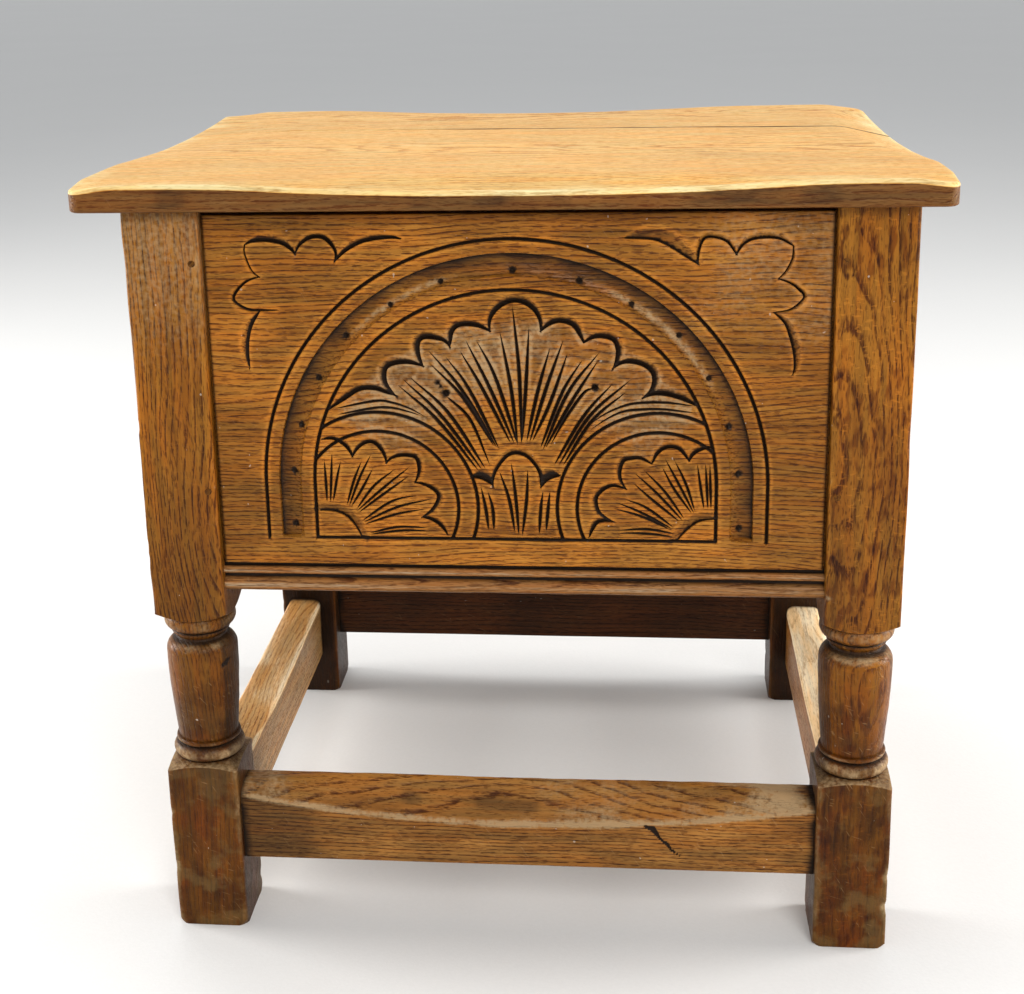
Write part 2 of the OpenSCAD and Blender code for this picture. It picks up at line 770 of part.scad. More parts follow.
// One of the three bottom boards, notched round the legs; place is -1, 0 or 1
module bottom_board(place) {
    color(oak_dark) in_stand() difference() {
        translate([place * (board_w + bottom_seam) - board_w / 2,
            panel_inset + wall_t + bottom_play - half_d, bottom_z])
            cube([board_w, bottom_d, bottom_t]);
        for (sx = [-1, 1], sy = [-1, 1])
            translate([sx * (half_w - leg_w / 2), sy * (half_d - leg_w / 2), bottom_z + bottom_t / 2])
                cube([leg_w + 2 * bottom_play, leg_w + 2 * bottom_play, 2 * bottom_t], center = true);
    }
}

module bottom_board_left() { bottom_board(-1); }
module bottom_board_middle() { bottom_board(0); }
module bottom_board_right() { bottom_board(1); }

// Outline of the lid with its rounded corners
module lid_outline() {
    difference() {
        square([lid_w, lid_d], center = true);
        for (sx = [-1, 1]) {
            corner_cut(sx, -1, front_corner_r);
            corner_cut(sx, 1, back_corner_r);
        }
    }
}

module corner_cut(sx, sy, r) {
    difference() {
        translate([sx * lid_w / 2, sy * lid_d / 2]) square(2 * r, center = true);
        translate([sx * (lid_w / 2 - r), sy * (lid_d / 2 - r)]) circle(r = r);
        translate([sx * (lid_w / 2 - 2 * r), sy * (lid_d / 2 - r)]) square(2 * r, center = true);
        translate([sx * (lid_w / 2 - r), sy * (lid_d / 2 - 2 * r)]) square(2 * r, center = true);
    }
}

module front_half() {
    polygon([[-lid_w / 2, -lid_d / 2], [lid_w / 2, -lid_d / 2],
        [lid_w / 2, joint_right_y], [-lid_w / 2, joint_left_y]]);
}

module back_half() {
    polygon([[-lid_w / 2, joint_left_y + joint_line], [lid_w / 2, joint_right_y + joint_line],
        [lid_w / 2, lid_d / 2], [-lid_w / 2, lid_d / 2]]);
}

// All the wear round the lid: one hollow along each edge and one at each corner
module lid_wear() {
    reach = lid_d / 2;
    translate([front_scoop_x, -lid_d / 2, lid_top])
        worn_hollow(front_scoop_l, front_scoop, front_scoop_slope, reach);
    translate([back_scoop_x, lid_d / 2, lid_top]) rotate([0, 0, 180])
        worn_hollow(back_scoop_l, back_scoop, back_scoop_slope, reach);
    translate([-lid_w / 2, left_scoop_y, lid_top]) rotate([0, 0, -90])
        worn_hollow(left_scoop_l, left_scoop, left_scoop_slope, reach);
    translate([lid_w / 2, right_scoop_y, lid_top]) rotate([0, 0, 90])
        worn_hollow(right_scoop_l, right_scoop, right_scoop_slope, reach);
    for (sx = [-1, 1], sy = [-1, 1]) {
        r = sy < 0 ? front_corner_r : back_corner_r;
        back_in = r * (1 - sqrt(0.5));
        translate([sx * (lid_w / 2 - back_in), sy * (lid_d / 2 - back_in), lid_top])
            rotate([0, 0, sx * (sy < 0 ? 45 : 135)])
                worn_hollow(corner_scoop_l, corner_scoop, corner_scoop_slope, reach);
    }
}

// What is cut from the lid's underside for the hinges and the screws
module lid_cuts() {
    in_stand() {
        for (side = [-1, 1]) translate([side * hinge_x, 0, 0]) {
            hinge_relief();
            at_lid_leaf_screws() screw_hole(hinge_screw_r, hinge_head_r, hinge_screw_l);
        }
        at_batten_screws() screw_hole(screw_r, screw_head_r, batten_screw_l);
    }
}

// Room for a hinge's knuckles, open at the back of the lid
module hinge_relief() {
    l = hinge_l + 2 * relief_play;
    r = knuckle_r + relief_play;
    hinge_axis(l) cylinder(r = r, h = l);
    translate([-l / 2, hinge_y, hinge_z]) cube([l, 2 * over_back, r]);
}

module lid_board() {
    color(oak_top) difference() {
        translate([0, 0, lid_z]) linear_extrude(lid_t) intersection() {
            lid_outline();
            children();
        }
        lid_wear();
        lid_cuts();
    }
}

module lid_front_board() { lid_board() front_half(); }
module lid_back_board() { lid_board() back_half(); }

// Where the batten screws go; up is out of the batten's underside
module at_batten_screws() {
    for (side = [-1, 1], y = [-batten_screw_y, 0, batten_screw_y])
        translate([side * batten_x, batten_y + y, lid_z - batten_t])
            rotate([180, 0, 0]) children();
}

module lid_batten(side) {
    color(oak_leg) in_stand() difference() {
        translate([side * batten_x - batten_w / 2, batten_y - batten_l / 2, lid_z - batten_t])
            cube([batten_w, batten_l, batten_t]);
        at_batten_screws() screw_hole(screw_r, screw_head_r, batten_screw_l);
    }
}

module lid_batten_left() { lid_batten(-1); }
module lid_batten_right() { lid_batten(1); }

module batten_screws() {
    color(steel) in_stand() at_batten_screws()
        wood_screw(screw_r, screw_head_r, batten_screw_l);
}

// Lays what is built along Z on the hinges' axis, middled on X = 0
module hinge_axis(l) {
    translate([-l / 2, hinge_y, hinge_z]) rotate([0, 90, 0]) children();
}

module at_box_leaf_screws() {
    for (x = [-hinge_screw_x, 0, hinge_screw_x])
        translate([x, half_d - leaf_w / 2, panel_top + leaf_t]) children();
}

module at_lid_leaf_screws() {
    for (x = [-hinge_screw_x, 0, hinge_screw_x])
        translate([x, half_d - leaf_w / 2, lid_z - leaf_t]) rotate([180, 0, 0]) children();
}

// A leaf with its underside at height z and its knuckles; the hinge is middled on X = 0
module hinge_leaf(z, places, bore_r) {
    difference() {
        union() {
            translate([-hinge_l / 2, half_d - leaf_w, z])
                cube([hinge_l, leaf_w - 2 * hinge_play, leaf_t]);
            for (i = places) {
                x = (i - knuckles / 2) * knuckle_l + knuckle_gap / 2;
                l = knuckle_l - knuckle_gap;
                translate([x, half_d - leaf_w / 2, z])
                    cube([l, leaf_w / 2 + knuckle_r + hinge_play, leaf_t]);
                translate([x, hinge_y, hinge_z]) rotate([0, 90, 0]) cylinder(r = knuckle_r, h = l);
            }
        }
        hinge_axis(2 * hinge_l) cylinder(r = bore_r, h = 2 * hinge_l);
        children();
    }
}

module hinge_box_leaf(side) {
    color(brass) in_stand() translate([side * hinge_x, 0, 0])
        hinge_leaf(panel_top, [0, 2, 4], hinge_pin_r + screw_play)
            at_box_leaf_screws() screw_hole(hinge_screw_r, hinge_head_r, hinge_screw_l);
}

module hinge_lid_leaf(side) {
    color(brass) in_stand() translate([side * hinge_x, 0, 0])
        hinge_leaf(lid_z - leaf_t, [1, 3], hinge_pin_r + pin_play)
            at_lid_leaf_screws() screw_hole(hinge_screw_r, hinge_head_r, hinge_screw_l);
}

module hinge_pin(side) {
    color(brass) in_stand() translate([side * hinge_x, 0, 0])
        hinge_axis(hinge_l) cylinder(r = hinge_pin_r, h = hinge_l);
}

module hinge_left_box_leaf() { hinge_box_leaf(-1); }
module hinge_left_lid_leaf() { hinge_lid_leaf(-1); }
module hinge_left_pin() { hinge_pin(-1); }
module hinge_right_box_leaf() { hinge_box_leaf(1); }
module hinge_right_lid_leaf() { hinge_lid_leaf(1); }
module hinge_right_pin() { hinge_pin(1); }

module hinge_screws_box() {
    color(brass) in_stand() for (side = [-1, 1]) translate([side * hinge_x, 0, 0])
        at_box_leaf_screws() wood_screw(hinge_screw_r, hinge_head_r, hinge_screw_l);
}

module hinge_screws_lid() {
    color(brass) in_stand() for (side = [-1, 1]) translate([side * hinge_x, 0, 0])
        at_lid_leaf_screws() wood_screw(hinge_screw_r, hinge_head_r, hinge_screw_l);
}

leg_front_left();
leg_front_right();
leg_rear_left();
leg_rear_right();
stretcher_front();
stretcher_rear();
stretcher_left();
stretcher_right();
front_rail();
back_rail();
side_rail_left();
side_rail_right();
front_panel();
back_panel();
side_panel_left();
side_panel_right();
pegs_front();
pegs_back();
pegs_left();
pegs_right();
ledger_front();
ledger_back();
ledger_screws();
bottom_board_left();
bottom_board_middle();
bottom_board_right();
lid_front_board();
lid_back_board();
lid_batten_left();
lid_batten_right();
batten_screws();
hinge_left_box_leaf();
hinge_left_lid_leaf();
hinge_left_pin();
hinge_right_box_leaf();
hinge_right_lid_leaf();
hinge_right_pin();
hinge_screws_box();
hinge_screws_lid();
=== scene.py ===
"""The oak box stool with its wood, brass and light.

Every piece is made round the packed solids: turned legs, worn stretchers and lid, moulded rails,
a carved front, pegs, screws and hinges. Lengths in the mesh code are millimetres unless said.
"""
import math

import bmesh
import bpy
import numpy as np
from mathutils import Matrix, Vector
from mathutils.geometry import delaunay_2d_cdt


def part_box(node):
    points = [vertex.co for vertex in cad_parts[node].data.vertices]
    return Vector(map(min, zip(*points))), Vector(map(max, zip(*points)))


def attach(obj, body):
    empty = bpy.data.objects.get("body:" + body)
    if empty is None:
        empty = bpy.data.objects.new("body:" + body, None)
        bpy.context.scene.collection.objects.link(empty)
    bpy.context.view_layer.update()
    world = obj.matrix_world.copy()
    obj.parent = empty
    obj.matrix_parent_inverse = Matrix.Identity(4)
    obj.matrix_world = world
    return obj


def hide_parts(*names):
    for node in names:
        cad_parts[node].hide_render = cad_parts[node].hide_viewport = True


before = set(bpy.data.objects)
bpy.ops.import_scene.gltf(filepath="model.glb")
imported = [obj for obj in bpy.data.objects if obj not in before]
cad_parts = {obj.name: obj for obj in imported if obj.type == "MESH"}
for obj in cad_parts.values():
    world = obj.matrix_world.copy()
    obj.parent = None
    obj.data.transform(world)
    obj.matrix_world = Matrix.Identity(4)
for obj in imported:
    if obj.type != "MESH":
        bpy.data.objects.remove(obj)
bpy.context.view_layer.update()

bl_info = {
    "name": "Oak box stool",
    "version": (1, 0, 0),
    "blender": (4, 5, 0),
    "location": "View3D > Sidebar > Stool",
    "description": "Makes an oak box on turned legs with a carved front and a worn lid",
    "category": "Add Mesh",
}

MM = 0.001
LEGS = ("front_left", "front_right", "rear_left", "rear_right")
# Each side of the frame: whether it runs from front to back, and which way along its axis is inward
SIDES = {"front": (False, 1), "back": (False, -1), "rear": (False, -1), "left": (True, 1),
         "right": (True, -1)}


def cad_box(node):
    """Lowest and highest corner of a packed solid in millimetres."""
    low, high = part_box(node)
    return np.array(low) / MM, np.array(high) / MM


LEG_LOW, LEG_HIGH = cad_box("leg_front_left")
LEG_W = LEG_HIGH[0] - LEG_LOW[0]
LEG_H = LEG_HIGH[2]
STAND_LOW = LEG_LOW
STAND_HIGH = cad_box("leg_rear_right")[1]
STAND_X, STAND_Y = (STAND_LOW[0] + STAND_HIGH[0]) / 2, (STAND_LOW[1] + STAND_HIGH[1]) / 2
LID_LOW, LID_HIGH = cad_box("lid_front_board")
LID_BACK = cad_box("lid_back_board")[1][1]
PANEL_LOW, PANEL_HIGH = cad_box("front_panel")


def between_legs(turned):
    """Clear width between two legs of the front, or of a side where turned is true."""
    return (STAND_HIGH - STAND_LOW)[1 if turned else 0] - 2 * LEG_W


def into_place(points, low, high, side):
    """Moves a piece made along X, its outer face at 0 and Y inward, to its side of the frame."""
    turned, sign = SIDES[side]
    x, y, z = points.T
    face = (low if sign > 0 else high)[0 if turned else 1] + sign * y
    return np.column_stack([*((face, x + STAND_Y) if turned else (x + STAND_X, face)), z + low[2]])


# ---- numbers, curves and wear ----

def waver(u, v, step, seed):
    """A smooth random height from -1 to 1 over a face; step is the size of its bumps."""
    table = np.random.default_rng(seed).uniform(-1, 1, (64, 64))
    p, q = np.asarray(u, float) / step, np.asarray(v, float) / step
    i, j = np.floor(p).astype(int), np.floor(q).astype(int)
    s, t = p - i, q - j
    s, t = s * s * (3 - 2 * s), t * t * (3 - 2 * t)

    def corner(di, dj):
        return table[(i + di) % 64, (j + dj) % 64]

    low = corner(0, 0) * (1 - s) + corner(1, 0) * s
    high = corner(0, 1) * (1 - s) + corner(1, 1) * s
    return low * (1 - t) + high * t


def ease(low, high, value):
    """0 below low, 1 above high and smooth between; works downwards too."""
    t = np.clip((np.asarray(value, float) - low) / (high - low), 0, 1)
    return t * t * (3 - 2 * t)


def soft_min(a, b, round_by):
    """The lower of two heights with the corner between them rounded."""
    t = np.clip(0.5 + (b - a) / (2 * round_by), 0, 1)
    return b + (a - b) * t - round_by * t * (1 - t)


def arris(distance, radius):
    """How far a rounded edge has fallen at a distance in from it."""
    short = np.clip(radius - distance, 0, radius)
    return radius - np.sqrt(np.maximum(radius * radius - short * short, 0))


def worn_hollow(along, inward, half, depth, slope):
    """Height of the hollow that wear leaves on an edge, deepest in its middle."""
    tilt = math.radians(slope)
    fall = depth * math.cos(tilt)
    radius = half * half / (2 * fall) + fall / 2
    reach = np.minimum(np.abs(along), radius * 0.999)
    rise = (radius - np.sqrt(radius * radius - reach * reach)) / math.cos(tilt)
    return -depth + inward * math.tan(tilt) + rise


def bulge(r, z, radius, low, high, steps):
    """Points of a round moulding: radius from the axis and height."""
    angles = np.radians(np.linspace(low, high, steps))
    return [(r + radius * math.cos(a), z + radius * math.sin(a)) for a in angles]


def flowing(points, step):
    """A smooth line through the points, as points a step apart."""
    p = np.asarray(points, float)
    p = np.vstack([2 * p[0] - p[1], p, 2 * p[-1] - p[-2]])
    t = np.linspace(0, 1, 9)[:-1, None]
    fine = [0.5 * (2 * b + (c - a) * t + (2 * a - 5 * b + 4 * c - d) * t ** 2
                   + (3 * b - a - 3 * c + d) * t ** 3)
            for a, b, c, d in zip(p, p[1:], p[2:], p[3:])]
    return respaced(np.vstack(fine + [p[-2:-1]]), step)


def respaced(line, step):
    """The same line with its points a step apart."""
    run = np.r_[0, np.cumsum(np.hypot(*np.diff(line, axis=0).T))]
    places = np.linspace(0, run[-1], max(3, round(run[-1] / step) + 1))
    return np.column_stack([np.interp(places, run, line[:, k]) for k in (0, 1)])


def round_line(centre, radius, start, stop, step):
    """An arc from one angle to another, in degrees, as points a step apart."""
    count = max(4, round(abs(stop - start) / 360 * 2 * math.pi * radius / step) + 1)
    angles = np.radians(np.linspace(start, stop, count))
    return np.column_stack([centre[0] + radius * np.cos(angles), centre[1] + radius * np.sin(angles)])


def from_line(x, z, line):
    """Where each point lies from a line of points.

    Returns its distance, the nearest stretch of the line, how far along that stretch it is, and
    whether it lies to the left.
    """
    start, way = line[:-1], np.diff(line, axis=0)
    off = np.stack([x[:, None] - start[:, 0], z[:, None] - start[:, 1]], -1)
    t = np.clip((off * way).sum(-1) / np.maximum((way * way).sum(-1), 1e-9), 0, 1)
    distance = np.hypot(*np.moveaxis(off - t[..., None] * way, -1, 0))
    best = distance.argmin(1)
    pick = (np.arange(len(x)), best)
    way, off = way[best], off[pick]
    return distance[pick], best, t[pick], way[:, 0] * off[:, 1] - way[:, 1] * off[:, 0] > 0


def between(values, stretch, share):
    """The value at a share of the way from one of a line's points to the next."""
    return values[stretch] + (values[stretch + 1] - values[stretch]) * share


# ---- finishes ----

class Level:
    """One socket of a node tree. Sums with it add Math nodes."""

    def __init__(self, tree, socket):
        self.tree, self.socket = tree, socket

    def beside(self, name):
        """Another output of the same node."""
        return Level(self.tree, self.socket.node.outputs[name])

    def math(self, operation, a, b=0.0):
        """A Math node on two numbers or sockets."""
        return self.tree.add("ShaderNodeMath", {"operation": operation}, {0: a, 1: b})

    def __add__(self, other):
        return self.math("ADD", self, other)

    def __sub__(self, other):
        return self.math("SUBTRACT", self, other)

    def __rsub__(self, other):
        return self.math("SUBTRACT", other, self)

    def __mul__(self, other):
        return self.math("MULTIPLY", self, other)

    def __truediv__(self, other):
        return self.math("DIVIDE", self, other)

    def __rtruediv__(self, other):
        return self.math("DIVIDE", other, self)

    def __pow__(self, other):
        return self.math("POWER", self, other)

    __radd__, __rmul__ = __add__, __mul__

    def part(self):
        """What is left of the number after its whole part."""
        return self.math("FRACT", self)

    def ease(self, low, high):
        """0 below low, 1 above high and smooth between."""
        return self.tree.add("ShaderNodeMapRange", {"interpolation_type": "SMOOTHSTEP"},
                             {"Value": self, "From Min": low, "From Max": high})


class Graph:
    """A node tree under construction."""

    def __init__(self, tree):
        self.tree = tree

    def add(self, kind, settings=(), sockets=(), out=0):
        """Adds a node, sets what it is given and returns one of its outputs."""
        node = self.tree.nodes.new(kind)
        for name, value in dict(settings).items():
            setattr(node, name, value)
        for name, value in dict(sockets).items():
            if isinstance(value, Level):
                self.tree.links.new(value.socket, node.inputs[name])
            else:
                node.inputs[name].default_value = value
        return Level(self, node.outputs[out]) if node.outputs else None


class Finish(Graph):
    """A material on Object coordinates."""

    def __init__(self, name):
        self.material = bpy.data.materials.new(name)
        self.material.use_nodes = True
        super().__init__(self.material.node_tree)
        self.tree.nodes.clear()
        self.place = self.add("ShaderNodeTexCoord", out="Object")

    def noise(self, place, stretch, detail=2.0, seed=0.0, turn=(0.0, 0.0, 0.0)):
        """Noise whose cells are 1 / stretch metres long on each axis."""
        if any(turn):
            place = self.add("ShaderNodeMapping", {}, {"Vector": place, "Rotation": turn})
        spot = self.add("ShaderNodeMapping", {}, {
            "Vector": place, "Scale": stretch, "Location": (seed, seed * 1.7, seed * 0.6)})
        return self.add("ShaderNodeTexNoise", {}, {
            "Vector": spot, "Scale": 1.0, "Detail": detail, "Roughness": 0.55}, "Fac")

    def mark(self, name):
        """A number that the piece's mesh carries at each point."""
        return self.add("ShaderNodeAttribute", {"attribute_name": name}, {}, "Fac")

    def mix(self, share, under, over, way="MIX"):
        """A colour between two others, or one of the other ways to join them."""
        return self.add("ShaderNodeMix", {"data_type": "RGBA", "blend_type": way},
                        {0: share, 6: paint(under), 7: paint(over)}, 2)

    def close(self, colour, roughness, height, relief, **constants):
        """Joins all to a surface; relief is the bump's depth in metres."""
        bump = self.add("ShaderNodeBump", {}, {
            "Strength": 1.0, "Distance": relief, "Height": height})
        sockets = {"Base Color": colour, "Roughness": roughness, "Normal": bump}
        sockets.update({name.replace("_", " "): value for name, value in constants.items()})
        surface = self.add("ShaderNodeBsdfPrincipled", {}, sockets)
        self.add("ShaderNodeOutputMaterial", {}, {"Surface": surface})
        return self.material


def paint(colour):
    """A colour as its socket takes it; links pass unchanged."""
    return colour if isinstance(colour, Level) else (*colour[:3], 1.0)


def tone(colour, by):
    """The colour made lighter or darker."""
    return tuple(min(1.0, c * by) for c in colour[:3])


# What rings and pores take from a board's colour, and the colours that age lays on it
DARK_GRAIN, PALE_GRAIN = (0.30, 0.19, 0.12), (0.50, 0.36, 0.24)
FLECK, SCRATCH, SPECK = (0.52, 0.40, 0.30), (0.42, 0.25, 0.11), (0.75, 0.68, 0.58)
# The tan of rubbed, dry wood is also the colour of painted highlights
RUBBED_TAN_AND_HIGHLIGHT = (0.40, 0.27, 0.140)
FLOOR_DUST, RUSTY = (0.160, 0.098, 0.032), (1.14, 0.92, 0.60)


def oak(name, along, body, rubbed, bare, seed, heart=(0.0, 0.3), ring=0.0024, deep=DARK_GRAIN,
        flecks=0.0, patina_and_shade=None, dust=0.0, scratches=0.25, specks=0.0, shine=0.36, mottle=1.0):
    """Oak with its grain along one axis, its rings, pores, flecks, wax and wear, and painted shade and
    highlights.

    heart is where the tree's middle lay across the grain, deep the colour that rings and pores
    add, patina the heights in metres between which the wood turns from dark to its own colour;
    that darkening towards the floor is partly patina and partly painted shade.
    The marks of wear, of grime with painted shade, and of dry bloom with painted highlights come from the
    mesh; where it has none they are 0.
    """
    wax = bpy.context.scene.stool_woods.wax
    f = Finish(name)
    x = f.add("ShaderNodeSeparateXYZ", {}, {0: f.place})
    y, z = x.beside("Y"), x.beside("Z")
    one, two, length = {"X": (y, z, x), "Y": (x, z, y), "Z": (x, y, z)}[along]
    grain = f.add("ShaderNodeCombineXYZ", {}, {0: one, 1: two, 2: length})
    drift = f.noise(grain, (7, 7, 2.6), 2, seed) - 0.5
    cloud = f.noise(grain, (26, 26, 10), 3, seed + 3)
    streak = f.noise(grain, (230, 230, 8), 2, seed + 5)
    fibre = f.noise(grain, (620, 620, 22), 2, seed + 6)
    fine = f.noise(grain, (1700, 1700, 110), 1, seed + 7)
    # Each ring begins with a dark line of pores, broken into dashes
    a = one - heart[0] + drift * 0.035
    b = two - heart[1] + drift * 0.06
    bent = f.noise(grain, (40, 40, 9), 2, seed + 9) - 0.5
    turns = ((a * a + b * b) ** 0.5 / ring + bent * 2.2).part()
    first = turns.ease(0.0, 0.08) * (1.0 - turns.ease(0.12, 0.48))
    line = first * f.noise(grain, (640, 640, 105), 2, seed + 11).ease(0.40, 0.56)
    pore = (f.noise(grain, (1350, 1350, 165), 1, seed + 13) + first * 0.10).ease(0.57, 0.66)
    # The colours of untouched, rubbed and bare wood
    wear = f.mark("wear") + (fine + cloud - 1.0) * (0.30 * mottle)
    colour = f.mix(streak.ease(0.28, 0.72), tone(body, 0.82), tone(body, 1.18))
    colour = f.mix(wear.ease(0.12, 0.62), colour, rubbed)
    colour = f.mix(wear.ease(0.72, 1.02), colour, bare)
    # Rings, pores and flecks show less where the wood is worn, and on the dark feet
    drawn = 0.92 - wear.ease(0.35, 0.95) * 0.42
    if patina_and_shade:
        drawn = drawn * (z.ease(0.10, 0.27) * 0.65 + 0.35)
    colour = f.mix(line * drawn, colour, deep, "MULTIPLY")
    colour = f.mix(pore * drawn * 0.70, colour, deep, "MULTIPLY")
    if flecks:
        band = f.noise(grain, (26, 26, 60), 1, seed + 15, (0.45, 0.55, 0.0)).ease(0.47, 0.57)
        blot = f.noise(grain, (260, 260, 62), 1, seed + 17).ease(0.46, 0.60)
        colour = f.mix(band * blot * flecks, colour, FLECK, "MULTIPLY")
        pale = f.noise(grain, (200, 200, 480), 1, seed + 19).ease(0.60, 0.68) * (1.0 - band)
        colour = f.mix(pale * flecks * 0.4, colour, tone(body, 1.9))
    # Light and dark, warm and cool streaks
    shade = (cloud - 0.5) * (0.52 * mottle) + ((fibre - 0.5) * 0.42 + (streak - 0.5) * 0.20 + 0.88)
    colour = f.mix(1.0, colour, shade, "MULTIPLY")
    warmth = f.noise(grain, (150, 150, 16), 3, seed + 31).ease(0.36, 0.64)
    colour = f.mix(1.0, colour, f.mix(warmth, (1.03, 0.93, 0.78), (0.97, 1.05, 1.16)), "MULTIPLY")
    # Darker towards the floor, partly patina and partly painted shade
    if patina_and_shade:
        dark = z.ease(*patina_and_shade) * 0.66 + 0.34 + (cloud - 0.5) * 0.30
        colour = f.mix(1.0, colour, dark, "MULTIPLY")
    if dust:
        # Towards the floor the feet are stained in patches and dulled by a film of dust
        low = 1.0 - z.ease(0.10, 0.26)
        stain = f.noise(f.place, (70, 70, 48), 4, seed + 35).ease(0.32, 0.68)
        colour = f.mix(low, colour, f.mix(stain, (0.66, 0.57, 0.34), (1.26, 1.12, 0.70)), "MULTIPLY")
        rust = f.noise(f.place, (44, 44, 30), 4, seed + 33).ease(0.46, 0.58)
        colour = f.mix(rust * low * dust * 2.2, colour, RUSTY, "MULTIPLY")
        film = f.noise(f.place, (52, 52, 70), 4, seed + 21) + (f.mark("wear") - 0.3) * 0.22
        film = film.ease(0.47, 0.62) * (1.0 - z.ease(0.03, 0.21) * 0.85) * low
        colour = f.mix(film * dust, colour, FLOOR_DUST)
    if scratches:
        rubs = f.noise(f.place, (950, 300, 95), 0, seed + 23, (0.0, 0.55, 0.0)).ease(0.74, 0.82)
        nicks = f.noise(f.place, (110, 300, 900), 0, seed + 24, (0.0, -0.3, 0.0)).ease(0.74, 0.82)
        struck = (rubs + nicks) * f.noise(f.place, (38, 38, 38), 1, seed + 25).ease(0.40, 0.62)
        if patina_and_shade:
            struck = struck * (1.2 - z.ease(0.14, 0.28))
        colour = f.mix(struck * scratches, colour, SCRATCH)
    if specks:
        spot = f.noise(f.place, (330, 330, 330), 0, seed + 27).ease(0.87, 0.885)
        colour = f.mix(spot * specks, colour, SPECK)
    # Tan where it is rubbed dry and where highlights are painted, black where wax and dirt have gathered and
    # where shade is painted
    grit = f.noise(f.place, (330, 330, 330), 4, seed + 29)
    bloom = (f.mark("bloom") * (grit * 2.4 - 0.2)).ease(0.12, 0.78)
    colour = f.mix(bloom * 0.80, colour, RUBBED_TAN_AND_HIGHLIGHT)
    soot_and_shade = (f.mark("grime") + (fine - 0.5) * 0.14).ease(0.10, 0.46)
    colour = f.mix(soot_and_shade, colour, wax)
    height = fibre * 0.4 + fine * 0.15 - pore * 0.5 - line * 0.6
    rough = shine + pore * 0.15 + soot_and_shade * 0.15 + bloom * 0.25 + (fibre - 0.5) * 0.12
    return f.close(colour, rough, height, 0.0003, Specular_IOR_Level=0.12)


def metal(name, colour, tarnish, shine, seed):
    """Old metal: tarnish in clouds, fine scratches and dull spots."""
    f = Finish(name)
    cloud = f.noise(f.place, (120, 120, 120), 3, seed)
    scratch = f.noise(f.place, (300, 4000, 4000), 2, seed + 2)
    stain = (cloud + scratch * 0.3).ease(0.52, 0.86)
    look = f.mix(stain, f.mix(scratch, tone(colour, 0.85), tone(colour, 1.1)), tarnish)
    rough = shine + stain * 0.3 + scratch * 0.1
    return f.close(look, rough, cloud * 0.5 + scratch * 0.5, 0.0001, Metallic=1.0)


# ---- pieces ----

def piece(name, points, faces, marks, finish, body, slot, nodes, crease=28):
    """A finished piece in metres on its body, standing for its packed solids."""
    mesh = bpy.data.meshes.new(name)
    mesh.from_pydata((np.asarray(points) * MM).tolist(), [], faces)
    for mark, values in marks.items():
        layer = mesh.attributes.new(mark, "FLOAT", "POINT")
        layer.data.foreach_set("value", np.ascontiguousarray(values, np.float32).ravel())
    return dress(mesh, name, finish, body, slot, nodes, crease)


def dress(mesh, name, finish, body, slot, nodes, crease=28):
    """Turns a mesh's faces outwards, smooths it and gives it its finish, body and solids."""
    shape = bmesh.new()
    shape.from_mesh(mesh)
    bmesh.ops.recalc_face_normals(shape, faces=shape.faces)
    shape.to_mesh(mesh)
    shape.free()
    mesh.materials.clear()
    mesh.materials.append(finish)
    mesh.shade_smooth()
    mesh.set_sharp_from_angle(angle=math.radians(crease))
    mesh.name = name
    made = bpy.data.objects.new(name, mesh)
    bpy.context.scene.collection.objects.link(made)
    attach(made, body)
    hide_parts(*nodes)
    return made


def tube_faces(rows, columns, capped=True):
    """Faces of a closed tube of rings, with a flat face at each end."""
    i, j = np.meshgrid(np.arange(rows - 1), np.arange(columns), indexing="ij")
    a, b = i * columns + j, i * columns + (j + 1) % columns
    faces = np.stack([a, b, b + columns, a + columns], -1).reshape(-1, 4).tolist()
    if capped:
        faces += [list(range(columns)), list(range((rows - 1) * columns, rows * columns))]
    return faces


# Places of a board's points: in from its edges, and up its narrow sides as shares of the height
EDGE_STEPS = np.array([0.0, 0.3, 0.8, 1.5, 2.4, 3.6, 5.5, 8.0])
WALL_SHARES = np.array([0.07, 0.35, 0.65, 0.93])
UNDER, OUTER, TOP, INNER = range(4)


